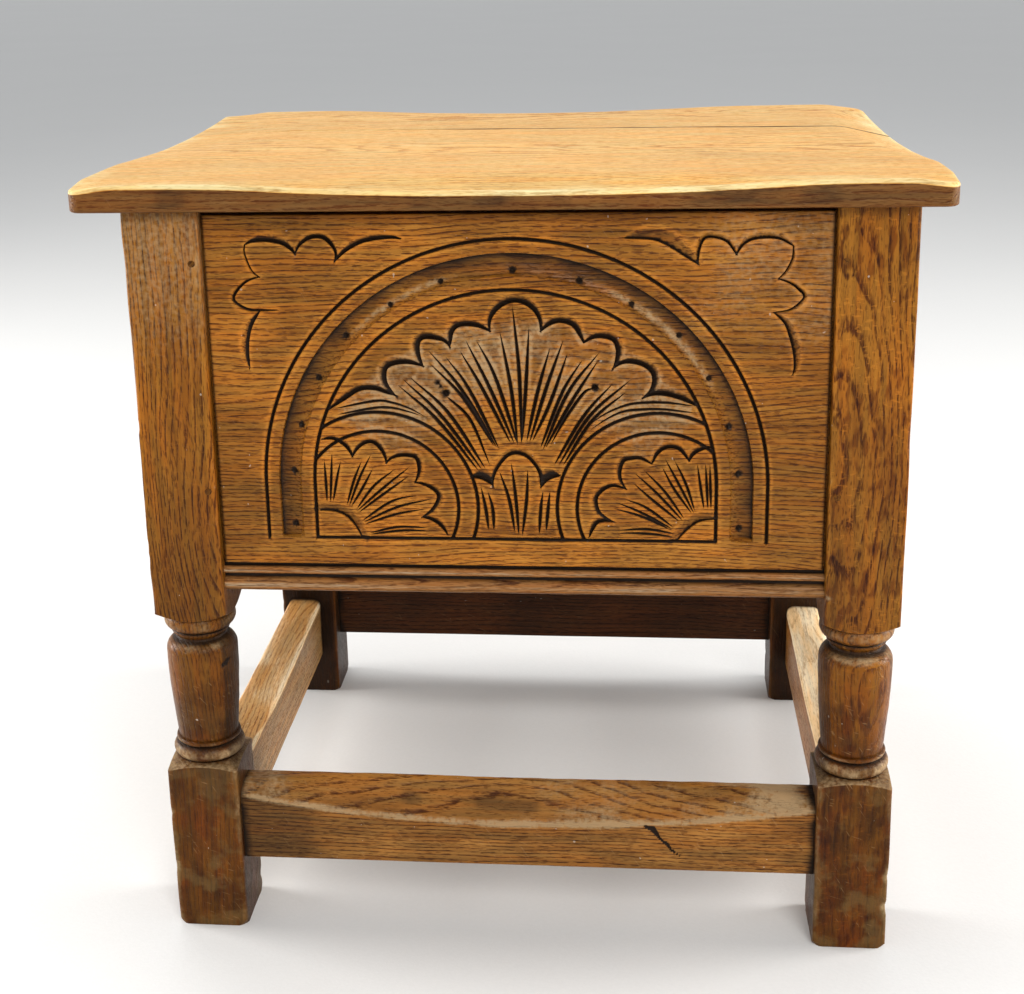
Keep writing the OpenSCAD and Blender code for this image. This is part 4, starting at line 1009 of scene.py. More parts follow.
FAN_SIDES = (
    ((44.8, 76), (53.7, 82.7), (64.2, 87.9), (74.8, 90.6), (91.9, 91), (110, 88.9)),
    ((45.8, 73), (55.1, 79.7), (65.7, 85), (76.9, 86.5), (91.9, 86.6), (110, 84.5)),
    ((-55.9, 80.7), (-66.5, 86.6), (-77.2, 90.3), (-88, 91.4), (-113, 86.5)),
    ((-58, 81.4), (-66.6, 84.3), (-77.3, 86.9), (-88.2, 86.9), (-112, 82.5)),
)
FAN_RAYS = (
    ((-1.1, 152.2), (2.4, 110.5), (3.2, 63.9)), ((-8.9, 135.9), (-2.7, 98.9), (0.7, 63.2)),
    ((8.9, 138.4), (6.4, 100.9), (3.6, 65.9)), ((29.7, 130.2), (18.9, 99.6), (8.3, 65.2)),
    ((21.6, 125.5), (14, 99), (6.5, 65.9)), ((32.4, 122.3), (21.3, 90.6), (10.1, 65.9)),
    ((51.6, 122.6), (32.4, 97.1), (16.5, 60.1)), ((41.2, 117.9), (28.8, 97.1), (15.1, 61.6)),
    ((51, 117.6), (34.9, 92), (18.2, 61.6)), ((70.5, 105.2), (45.9, 82.4), (26.4, 50.3)),
    ((60.1, 103.4), (42.2, 82.4), (23.5, 50.3)), ((67.7, 97.5), (47.1, 79.1), (29.2, 50.3)),
    ((-30.1, 130.2), (-16.9, 102.1), (-1.5, 64.5)), ((-23.3, 130.2), (-12.5, 107.2), (0.6, 63.9)),
    ((-33.8, 123.6), (-21.9, 102.1), (-3.7, 64.5)), ((-53.4, 123.6), (-34.4, 100.1), (-12.4, 61.4)),
    ((-42.5, 119.6), (-29.4, 100.1), (-11, 60.7)), ((-52.6, 115.5), (-33.3, 94.3), (-14.1, 62.5)),
    ((-70.1, 105.5), (-47.4, 82.6), (-22.1, 46.9)), ((-65.8, 107.1), (-42.4, 83.9), (-19.9, 47.6)),
    ((-73.1, 101.5), (-50, 79.9), (-24.3, 46.1)),
)
WIDE_CUTS = (
    ((48.5, 100), (42.3, 97.2), (31.1, 81), (21.6, 64)), ((-42.5, 94.1), (-28.7, 79.4), (-17, 49.9)),
)
SMALL_FAN_LOBES = (
    ((-15, 36), (-15, 39.1), (-13.5, 44.2), (-11, 48.8), (-7.5, 53.4), (-4.1, 56.2), (-0.3, 57), (3.6, 56.2),
     (7.4, 53.7), (10.7, 50), (13, 46), (14.4, 40.9), (14.8, 36.3)),
    ((-28.8, 41.5), (-22.3, 40.1), (-16.1, 36.6)),
    ((15.2, 35.3), (19.6, 39.9), (27.3, 43.1)),
)
SMALL_FAN_RAYS = (
    ((-3.5, 51.4), (-1.2, 28.8), (0.5, 3.3)), ((-11, 45.7), (-5.3, 26.7), (-2.1, 5.3)),
    ((6.8, 46.9), (5.7, 26.9), (2.7, 3.3)), ((-22.9, 35), (-20.3, 20.6), (-18.7, 6.2)),
    ((-18.6, 32), (-15.9, 20.7), (-15.3, 6.2)), ((16.2, 32.8), (14.6, 21), (13.4, 4)),
    ((20.5, 32.8), (19.2, 21.1), (17.8, 6.1)),
)
CORNER_ROOTS = ((-124.0, -6.0), (125.0, -9.0))
CORNER_LOBES = (
    (((-123, 66), (-115.7, 65.7), (-110, 62.3), (-106.5, 58.5), (-104.1, 54.3)),
     ((-104.1, 54.3), (-100.6, 59.3), (-95.3, 63.2), (-90.2, 63.2), (-86, 58.7), (-83.6, 54.1),
      (-82.7, 50.3)),
     ((-82.7, 50.3), (-78.9, 53.4), (-73, 54.9), (-67.2, 54.6), (-63.9, 53.1), (-62.7, 47.4), (-63.2, 42.8),
      (-64.8, 37.8)),
     ((-64.8, 37.8), (-59, 35.9), (-54, 32.9), (-50.9, 29.1), (-52.1, 24.5), (-55.9, 19), (-61.3, 14.3)),
     ((-61.3, 14.3), (-56.2, 12.8), (-50.4, 9), (-45.1, 2.8))),
    (((120.9, 62.7), (113.7, 59.8), (109.7, 57), (107.1, 53.1)),
     ((107.1, 53.1), (100.4, 60.4), (93.7, 61.4), (88.4, 58.2), (84.1, 51.1)),
     ((84.1, 51.1), (77, 54.2), (71, 53.8), (67, 52.4), (65, 46), (65.6, 40.3), (68.3, 34.5)),
     ((68.3, 34.5), (58.9, 35.9), (51.1, 30.1), (50.4, 24.3), (52.1, 19.2), (56.1, 15.6), (60.2, 12.8)),
     ((60.2, 12.8), (51.4, 12), (47.9, 7.5), (45.2, 2.4))),
)
CORNER_DISCS = (
    ((-126.2, 18.2), (-120.3, 17.9), (-114.4, 16.8), (-109.3, 13.7), (-105.1, 9.1), (-102.3, 4.4),
     (-100.6, 0.5)),
    ((123.7, 15), (117.6, 14.2), (111.6, 12), (104.9, 6.1), (99.9, 0.2)),
)
CORNER_RAYS = (
    ((-117, 57.3), (-118.4, 40.4), (-119.6, 24.1)), ((-122.2, 52.3), (-122, 39), (-121.8, 24.2)),
    ((-111.8, 51.6), (-114.9, 39.1), (-117.7, 24.9)), ((-92.3, 56), (-100.4, 39.9), (-107.4, 22)),
    ((-98.4, 51.7), (-103.7, 39.2), (-109, 22.3)), ((-91.4, 46.8), (-98.8, 33.2), (-106, 21.6)),
    ((-67.8, 48.2), (-84.8, 34.2), (-102.4, 18.5)), ((-77.3, 46.5), (-91.4, 34.9), (-102.8, 19.6)),
    ((-68.7, 42), (-85.5, 29.5), (-101.5, 17.3)), ((-54.6, 26.8), (-76.5, 21.1), (-98.7, 10.7)),
    ((-65.2, 28.9), (-80, 25), (-99.4, 11.9)), ((-58.9, 20.1), (-76.6, 16.5), (-97.7, 9.5)),
    ((-57.1, 7.3), (-77, 7.5), (-95, 3.4)), ((-55, 5), (-73.6, 5.2), (-95, 2.4)),
    ((63.3, 7), (80.6, 7.9), (98.2, 5.3)), ((62.9, 5.2), (80.6, 5), (97.5, 3.1)),
    ((60.9, 21.5), (77.2, 16.6), (95.5, 8.1)), ((61.9, 25.8), (76.5, 19.5), (96.8, 8.5)),
    ((67, 28.1), (80.5, 22.4), (97.5, 9.6)), ((72.4, 38.9), (84.5, 27.5), (101.5, 13.3)),
    ((73, 45.7), (87.2, 31.9), (103.5, 14)), ((79.1, 47.2), (91.9, 33.3), (104.2, 15.5)),
    ((90.4, 49.4), (97.9, 34.8), (108.8, 19.1)), ((92.4, 54.4), (101.3, 37), (110.2, 19.2)),
    ((98.1, 53.7), (105.3, 37.8), (110.8, 20.6)), ((112.1, 51.3), (114, 37.8), (116.5, 22.1)),
    ((117.1, 51.4), (118, 37.9), (118.9, 22.1)), ((119.8, 50.7), (120.3, 36.5), (120.9, 22.2)),
)
# Leaves in the upper corners: line, width of its hollow in the middle, and at its ends
LEAVES = (
    (((-68.2, 193.7), (-75, 194.2), (-90.4, 192), (-101.4, 186.6), (-109.3, 180.1)), 4.5, 1.0),
    (((-109.3, 180.1), (-109.1, 185.9), (-112.6, 191.3), (-117.1, 194.4), (-124, 194.1), (-130.4, 189.9),
      (-133.8, 184.5)), 3.5, 0.6),
    (((-133.8, 184.5), (-136.7, 187.6), (-142.7, 191.1), (-151.9, 192.7), (-159.6, 192.4),
      (-164.4, 190.8)), 5.0, 0.8),
    (((-164.4, 190.8), (-165, 187), (-163.5, 180.8), (-160.8, 174.5), (-156.7, 170.6)), 1.2, 0.7),
    (((-156.7, 170.6), (-163.5, 168.3), (-169.3, 163.6), (-173.2, 157.3), (-169.9, 153.4), (-163.9, 150.6),
      (-157.6, 150.2), (-146.7, 149.8)), 2.4, 0.5),
    (((-157.7, 149), (-163, 139.9), (-165.4, 132), (-166.3, 124), (-166.3, 112.7)), 5.2, 0.6),
    (((67.7, 193.4), (83.1, 192.5), (91.3, 189.5), (99.5, 184.5), (105.2, 180.7), (110.9, 177.4)), 9.0, 1.5),
    (((110.9, 177.4), (111.6, 184.4), (113.2, 190.2), (115.6, 193.1), (121.2, 193.1), (127.7, 190.6),
      (133.5, 183.1)), 3.5, 1.2),
    (((133.5, 183.1), (138.2, 189.3), (145.4, 192.5), (157.4, 192.5), (166.8, 188.3)), 4.5, 0.8),
    (((166.8, 188.3), (166.2, 180.9), (162.8, 173.4), (158.5, 168.4)), 1.6, 0.7),
    (((158.5, 168.4), (166.2, 165), (171.2, 160.8), (173.7, 157.5), (170.6, 153.3), (165.1, 149.5),
      (156.2, 147.8)), 2.4, 0.6),
    (((156.2, 147.8), (162.9, 140.6), (166.4, 131.3), (168.7, 121.9), (169.3, 114.2),
      (168.6, 109)), 5.0, 0.6),
)
BAND_DOTS = ((-0.7, 173.9), (-44.8, 167.2), (-76.4, 152.6), (-105, 132.7), (-123.4, 105.7), (-136.1, 74.9),
             (-142.3, 44.2), (-143.4, 8.3))
BORE_HOLES = ((-43.4, 96.6, 2.0, 3.0), (-48.2, 103.4, 1.0, 1.6), (48.9, 100.6, 1.9, 3.0),
              (-46.5, 101.0, 0.6, 1.0))


class Carving:
    """The cuts of a carved face and the points and lines its mesh has to follow."""

    def __init__(self):
        self.spots, self.ties, self.cuts, self.pits, self.scoops = [], [], [], [], []
        self.count = 0

    def follow(self, line, tied=True):
        """Keeps a line of points in the mesh."""
        self.spots.append(line)
        if tied:
            self.ties += [(self.count + i, self.count + i + 1) for i in range(len(line) - 1)]
        self.count += len(line)

    def cut(self, line, left, right, depth, black=1.0, fade=2.2):
        """A cut, deepest on its line, with the width of its slope on either side.

        black is how dark it is at its line, and fade how far off its darkness ends. A long cut is
        kept in pieces of 16 steps, so that few points of the face are near each.
        """
        line = np.asarray(line)
        left, right = (np.broadcast_to(np.asarray(w, float), len(line)) for w in (left, right))
        depth = np.broadcast_to(np.asarray(depth, float), len(line))
        way = np.gradient(line, axis=0)
        way /= np.maximum(np.hypot(*way.T), 1e-9)[:, None]
        across = np.column_stack([-way[:, 1], way[:, 0]])
        self.follow(line)
        self.follow(line + across * left[:, None])
        self.follow(line - across * right[:, None])
        for side, width in ((1, left), (-1, right)):
            wide = width > 0.3
            self.follow((line + side * across * (width + 0.9)[:, None])[wide], tied=False)
            broad = width > 3.0
            self.follow((line + side * across * (width * 0.5)[:, None])[broad], tied=False)
        for start in range(0, len(line) - 1, 16):
            part = slice(start, start + 17)
            self.cuts.append((line[part], left[part], right[part], depth[part], black, fade))

    def lobe(self, points, root, middle, ends, depth, black=1.0, fade=2.2):
        """A gouge cut along a leaf's edge: steep on the leaf, sloping away from the root."""
        line = flowing(points, 1.5)
        share = np.sin(np.linspace(0, 1, len(line)) * math.pi) ** 0.8
        slope = ends + (middle - ends) * share
        half = len(line) // 2
        way, off = line[half + 1] - line[half - 1], line[half] - np.array(root)
        away_left = way[0] * off[1] - way[1] * off[0] > 0
        sides = (slope, 0.35) if away_left else (0.35, slope)
        self.cut(line, *sides, depth * (0.45 + 0.55 * share), black, fade)

    def ray(self, points, width, depth, lean=1.2):
        """A slender cut, fine at both ends; a lean above 1 puts its widest part further down."""
        line = flowing(points, 1.8)
        t = np.linspace(0, 1, len(line))
        swell = np.abs(np.sin(np.pi * t ** lean)) ** 0.55
        half = np.maximum(width / 2 * swell, 0.08)
        self.cut(line, half, half, 0.1 + depth * swell)

    def scoop(self, tip, root, inset, size, depth):
        """A shallow hollow in a petal, inside its tip, longer towards the root."""
        way = np.subtract(root, tip)
        way = way / np.hypot(*way)
        self.scoops.append((np.add(tip, way * inset), way, size, depth))

    def pit(self, x, z, radius, depth):
        """A small round hole."""
        turn = np.linspace(0, 2 * math.pi, 9)[:-1]
        for size in (radius, radius * 0.6, 0.0):
            count = 8 if size else 1
            at = turn[:count]
            self.follow(np.column_stack([x + size * np.cos(at), z + size * np.sin(at)]), tied=False)
        self.pits.append((x, z, radius, depth))

    def levels(self, x, z):
        """Height, grime and painted shade, and nearness to a cut's edge at each point of the face; that
        nearness is later painted as a highlight along the edge.
        """
        height, grime, rim = np.zeros(len(x)), np.zeros(len(x)), np.zeros(len(x))
        for line, left, right, depth, black, fade in self.cuts:
            reach = max(left.max(), right.max()) + 2.0
            near = np.flatnonzero((x > line[:, 0].min() - reach) & (x < line[:, 0].max() + reach)
                                  & (z > line[:, 1].min() - reach) & (z < line[:, 1].max() + reach))
            if not len(near):
                continue
            distance, best, t, on_left = from_line(x[near], z[near], line)
            width = np.where(on_left, between(left, best, t), between(right, best, t))
            deep = between(depth, best, t)
            fill = np.clip(1 - distance / width, 0, 1)
            height[near] = np.minimum(height[near], -deep * fill)
            dark = np.clip(1 - distance / np.minimum(width, fade), 0, 1) * black * np.clip(deep / 0.7, 0.5, 1)
            grime[near] = np.maximum(grime[near], np.maximum(dark, 0.24 * ease(0.0, 0.12, fill)))
            rim[near] = np.maximum(rim[near], (width > 0.3) * np.exp(-((distance - width - 0.5) / 0.9) ** 2))
        for (px, pz), way, size, depth in self.scoops:
            run = (x - px) * way[0] + (z - pz) * way[1]
            off = (x - px) * way[1] - (z - pz) * way[0]
            height = height - depth * np.exp(-(run / (1.7 * size)) ** 2 - (off / size) ** 2)
        for px, pz, radius, depth in self.pits:
            fill = np.clip(1.25 - np.hypot(x - px, z - pz) / radius, 0, 1)
            height = height - depth * fill
            grime = np.maximum(grime, 0.9 * np.sqrt(fill))
        return height, grime, rim


# The arch's band from its inner to its outer edge: places as shares, how deep it is there and how dark its
# painted shade is, darkest at the outer wall
BAND_SHARES = np.array([0.0, 0.08, 0.24, 0.42, 0.6, 0.77, 0.87, 0.95, 1.0])
BAND_FALLS = np.array([0.0, 0.34, 0.66, 0.86, 0.97, 1.0, 0.93, 0.76, 0.0])
BAND_SHADE = np.array([0.20, 0.16, 0.19, 0.23, 0.26, 0.29, 0.34, 0.42, 0.12])


def arched(s, radius):
    """A line up from the foot, round the arch and down again."""
    middle, spring = s.arch_shift / MM, s.spring / MM
    over = round_line((middle, spring), radius, 180, 0, 1.7)
    side = np.linspace(0, spring, 22)[:-1]
    return np.vstack([np.column_stack([np.full(len(side), middle - radius), side]), over,
                      np.column_stack([np.full(len(side), middle + radius), side[::-1]])])


def within_arch(s, line, radius):
    """Which points lie inside the arch's line of that radius, above the foot line."""
    x, z = line[:, 0] - s.arch_shift / MM, line[:, 1]
    rise = np.maximum(z - s.spring / MM, 0)
    return (np.hypot(x, rise) < radius) & (z > 0)


def runs(line, keep):
    """The unbroken stretches of a line where keep holds."""
    edges = np.flatnonzero(np.diff(np.r_[0, keep.astype(int), 0]))
    return [line[a:b] for a, b in zip(edges[::2], edges[1::2]) if b - a > 3]


def set_out(s):
    """All the cuts of the front, from the arch's lines to the smallest rays."""
    c = Carving()
    line_r, half = s.line_radius / MM, s.line_width / MM / 2
    line_depth = s.line_depth / MM
    for radius in (line_r, s.outer_line / MM):
        c.cut(arched(s, radius), half, half, line_depth)
    foot = s.arch_shift / MM + np.array([-line_r, line_r])
    c.cut(np.column_stack([np.linspace(*foot, 150), np.zeros(150)]), half, half, line_depth)
    for side in (-1, 1):
        for radius in (s.roundel_outer / MM, s.roundel_inner / MM):
            ring = round_line((side * s.roundel_spread / MM, s.roundel_height / MM), radius, -90, 270, 1.7)
            for run in runs(ring, within_arch(s, ring, line_r)):
                c.cut(run, half, half, line_depth)
    for lobe in FAN_LOBES:
        c.lobe(lobe, FAN_ROOT, 5.2, 0.8, 2.8, fade=4.2)
        tip = max(lobe, key=lambda spot: math.dist(spot, FAN_ROOT))
        if abs(tip[0]) < 90:
            c.scoop(tip, FAN_ROOT, 9.0, 5.0, 1.1)
    for line in FAN_SIDES:
        c.ray(line, 2.3, 1.3)
    for ray in FAN_RAYS:
        c.ray(ray, 3.2, 2.0)
    for ray in WIDE_CUTS:
        c.ray(ray, 2.7, 2.2, 0.7)
    for lobe in SMALL_FAN_LOBES:
        wedge = len(lobe) < 5
        c.lobe(lobe, (0, 0), 8.5 if wedge else 4.6, 1.0, 2.4, 1.0, 7.0 if wedge else 2.6)
    for ray in SMALL_FAN_RAYS:
        c.ray(ray, 3.0, 1.6)
    for root, lobes, disc in zip(CORNER_ROOTS, CORNER_LOBES, CORNER_DISCS):
        for lobe in lobes:
            c.lobe(lobe, root, 3.8, 0.6, 2.2, fade=3.0)
        c.lobe(disc, root, 6.5, 5.5, 2.2, 0.6, 1.8)
    for ray in CORNER_RAYS:
        c.ray(ray, 2.4, 1.3)
    for line, middle, ends in LEAVES:
        right = line[0][0] > 0
        c.lobe(line, (0, 40), middle, ends, 2.6, 0.66 if right else 1.0, 2.4 if right else 3.4)
    mirror = 2 * s.arch_shift / MM
    for x, z in BAND_DOTS:
        c.pit(x, z, 1.7, 1.6)
        if x < -2:
            c.pit(mirror - x, z, 1.7, 1.6)
    for hole in BORE_HOLES:
        c.pit(*hole)
    inner, outer = s.band_inner / MM, s.band_outer / MM
    for share in BAND_SHARES:
        c.follow(arched(s, inner + (outer - inner) * share))
    return c


class STOOL_OT_carved_front(bpy.types.Operator):
    """Carves the front panel: an arch, two roundels, fans and leaves"""
    bl_idname = "stool.carved_front"
    bl_label = "Carved front"

    def execute(self, context):
        s, woods = context.scene.stool_carving, context.scene.stool_woods
        half = between_legs(False) / 2 - PANEL_CLEARANCE
        height, thick = PANEL_HIGH[2] - PANEL_LOW[2], PANEL_HIGH[1] - PANEL_LOW[1]
        low = -s.foot_line / MM
        high = height + low
        carving = set_out(s)
        flat, front = self.field(carving, half, low, high)
        x, z = flat.T
        edge = np.minimum(half - np.abs(x), np.minimum(z - low, high - z))
        depth, marks = self.age(s, x, z, *carving.levels(x, z), half, high)
        depth = depth - arris(edge, 1.6)
        depth -= 0.16 * (1 + waver(x, z, 30, 211)) + 0.08 * (1 + waver(x, z, 7, 212))
        # Sides and back from the outline of the face
        outline = np.flatnonzero(edge < 0.001)
        middle = (low + high) / 2
        around = np.arctan2((z[outline] - middle) / (high - low), x[outline] / (2 * half))
        ring = outline[np.argsort(around)].tolist()
        back = list(range(len(flat), len(flat) + len(ring)))
        faces = [*front, *zip(ring, ring[1:] + ring[:1], back[1:] + back[:1], back), tuple(back)]
        points = np.vstack([np.column_stack([x, -depth, z - low]),
                            np.column_stack([x[ring], np.full(len(ring), thick), z[ring] - low])])
        marks = {name: np.r_[values, np.full(len(ring), 0.1 if name == "wear" else 0.0)]
                 for name, values in marks.items()}
        points, faces, marks = with_tongues(points, faces, marks, half, thick, height)
        finish = oak("carved_oak", "X", woods.panel, tone(woods.panel, 1.9), woods.bare, 47.0,
                     heart=(-0.09, 0.56), ring=0.0029, scratches=0.08, specks=0.3, shine=0.27)
        piece("oak_front_panel", into_place(points, PANEL_LOW, PANEL_HIGH, "front"), faces, marks, finish,
              "stand", "oak_panels", ["front_panel"])
        return {"FINISHED"}

    def field(self, carving, half, low, high):
        """The face's points and triangles: its cuts, frames along its edges and an even field."""
        for inset in (0.0, 0.35, 0.9, 1.8, 3.2):
            left, right, foot, head = inset - half, half - inset, low + inset, high - inset
            across, up = np.linspace(left, right, 150), np.linspace(foot, head, 90)[1:-1]
            loop = np.vstack([np.column_stack(np.broadcast_arrays(*side)) for side in (
                (across, foot), (right, up), (across[::-1], head), (left, up[::-1]))])
            carving.follow(np.vstack([loop, loop[:1]]))
        step = 2.6
        gx, gz = np.meshgrid(np.arange(-half + 4.5, half - 4, step),
                             np.arange(low + 4.5, high - 4, step * 0.87))
        gx = gx + (np.arange(len(gx)) % 2)[:, None] * step / 2
        carving.follow(np.column_stack([gx.ravel(), gz.ravel()]), tied=False)
        spots = np.clip(np.vstack(carving.spots), (-half, low), (half, high))
        done = delaunay_2d_cdt([Vector(p) for p in spots.tolist()], carving.ties, [], 0, 0.02)
        return np.array([tuple(v) for v in done[0]]), [tuple(f) for f in done[2]]

    def age(self, s, x, z, depth, grime, rim, half, high):
        """Sinks the arch's band, and marks what is polished, dark or dry, and where shade and highlights are
        painted.
        """
        middle, spring = s.arch_shift / MM, s.spring / MM
        inner, outer = s.band_inner / MM, s.band_outer / MM
        rise = np.maximum(z - spring, 0)
        share = (np.hypot(x - middle, rise) - inner) / (outer - inner)
        in_band = (share > 0) & (share < 1) & (z > 0)
        fall = np.interp(share, BAND_SHARES, BAND_FALLS) * s.band_depth / MM * ease(0, 1.2, z)
        depth = depth - np.where(in_band, fall + 0.3 * waver(x, z, 9, 215) * (fall > 1), 0)
        # Painted shade in the band, darkest at its outer wall
        dark = np.interp(share, BAND_SHARES, BAND_SHADE)
        dark += 0.05 * waver(x, z, 12, 216) + 0.04 * ease(50, 110, z)
        grime = np.where(in_band, np.maximum(grime, dark), grime)
        grime = np.maximum(grime, 0.36 * ease(3.5, 0.5, np.minimum(half - np.abs(x), 4 * (high - z))))
        wear = 0.22 + 0.16 * waver(x, z, 60, 213) + 0.10 * waver(x, z, 20, 214)
        wear += 0.16 * ease(0, -6, z) - 0.16 * ease(110, 175, x) * ease(150, 60, z)
        # Edges of the cuts are rubbed pale and carry a painted highlight
        wear += rim * 0.30 - 0.10 * in_band
        # Two stretches of the band's inner slope are rubbed bright and carry a painted highlight
        turn = np.degrees(np.arctan2(rise, x - middle))
        bright = np.maximum(ease(100, 108, turn) * ease(142, 128, turn),
                            ease(18, 34, turn) * ease(72, 60, turn))
        crest = np.exp(-((share - 0.28) / 0.16) ** 2) * bright * (z > 0)
        grime = grime - 0.2 * crest * (grime < 0.5)
        # The fan's petals are dry and greyish, partly a painted sheen, and lightly darkened with painted
        # shade; the cuts' edges carry a painted highlight, most on the petals; the rest of the panel waxed
        off, up = x - FAN_ROOT[0], z - FAN_ROOT[1]
        size, lean = np.hypot(off, up), np.abs(np.arctan2(off, up))
        petals = ease(62, 100, size) * ease(140, 128, size) * ease(1.12, 0.95, lean)
        grime = np.maximum(grime, 0.17 * petals * (1 - rim))
        bloom = petals * (0.31 + 0.14 * waver(x, z, 16, 218)) + 0.52 * crest * (1 + 0.3 * waver(x, z, 8, 217))
        bloom += rim * (0.06 + 0.20 * petals)
        # A painted sheen over the upper right of the panel
        bloom += 0.27 * ease(50, 150, x) * ease(80, 160, z) * (1 + 0.4 * waver(x, z, 22, 219))
        return depth, {"wear": wear, "grime": grime, "bloom": bloom}


# ---- the lid ----

LID_CENTRE_Y = (LID_LOW[1] + LID_BACK) / 2
HINGES = [cad_box(f"hinge_{side}_pin") for side in ("left", "right")]
# Hollows worn in the lid's edges: side, half length, depth, slope, place of the middle
LID_WEAR = (("front", 185, 5.8, 9, 10), ("back", 160, 4.2, 6, -5), ("left", 153, 5.2, 4, 42),
            ("right", 199, 8.5, 13, 58))
# Half length, depth and slope of the wear at each corner
CORNER_WEAR = (34, 3, 8)
# The hollow over a hinge's knuckles: its radius and half its length
KNUCKLE_ROOM, KNUCKLE_HALF = 2.6, 25.4
# Dark stains on the front edge: place and half length
EDGE_STAINS = ((-200, 12), (-48, 9), (-6, 13), (35, 8), (137, 34), (185, 16))


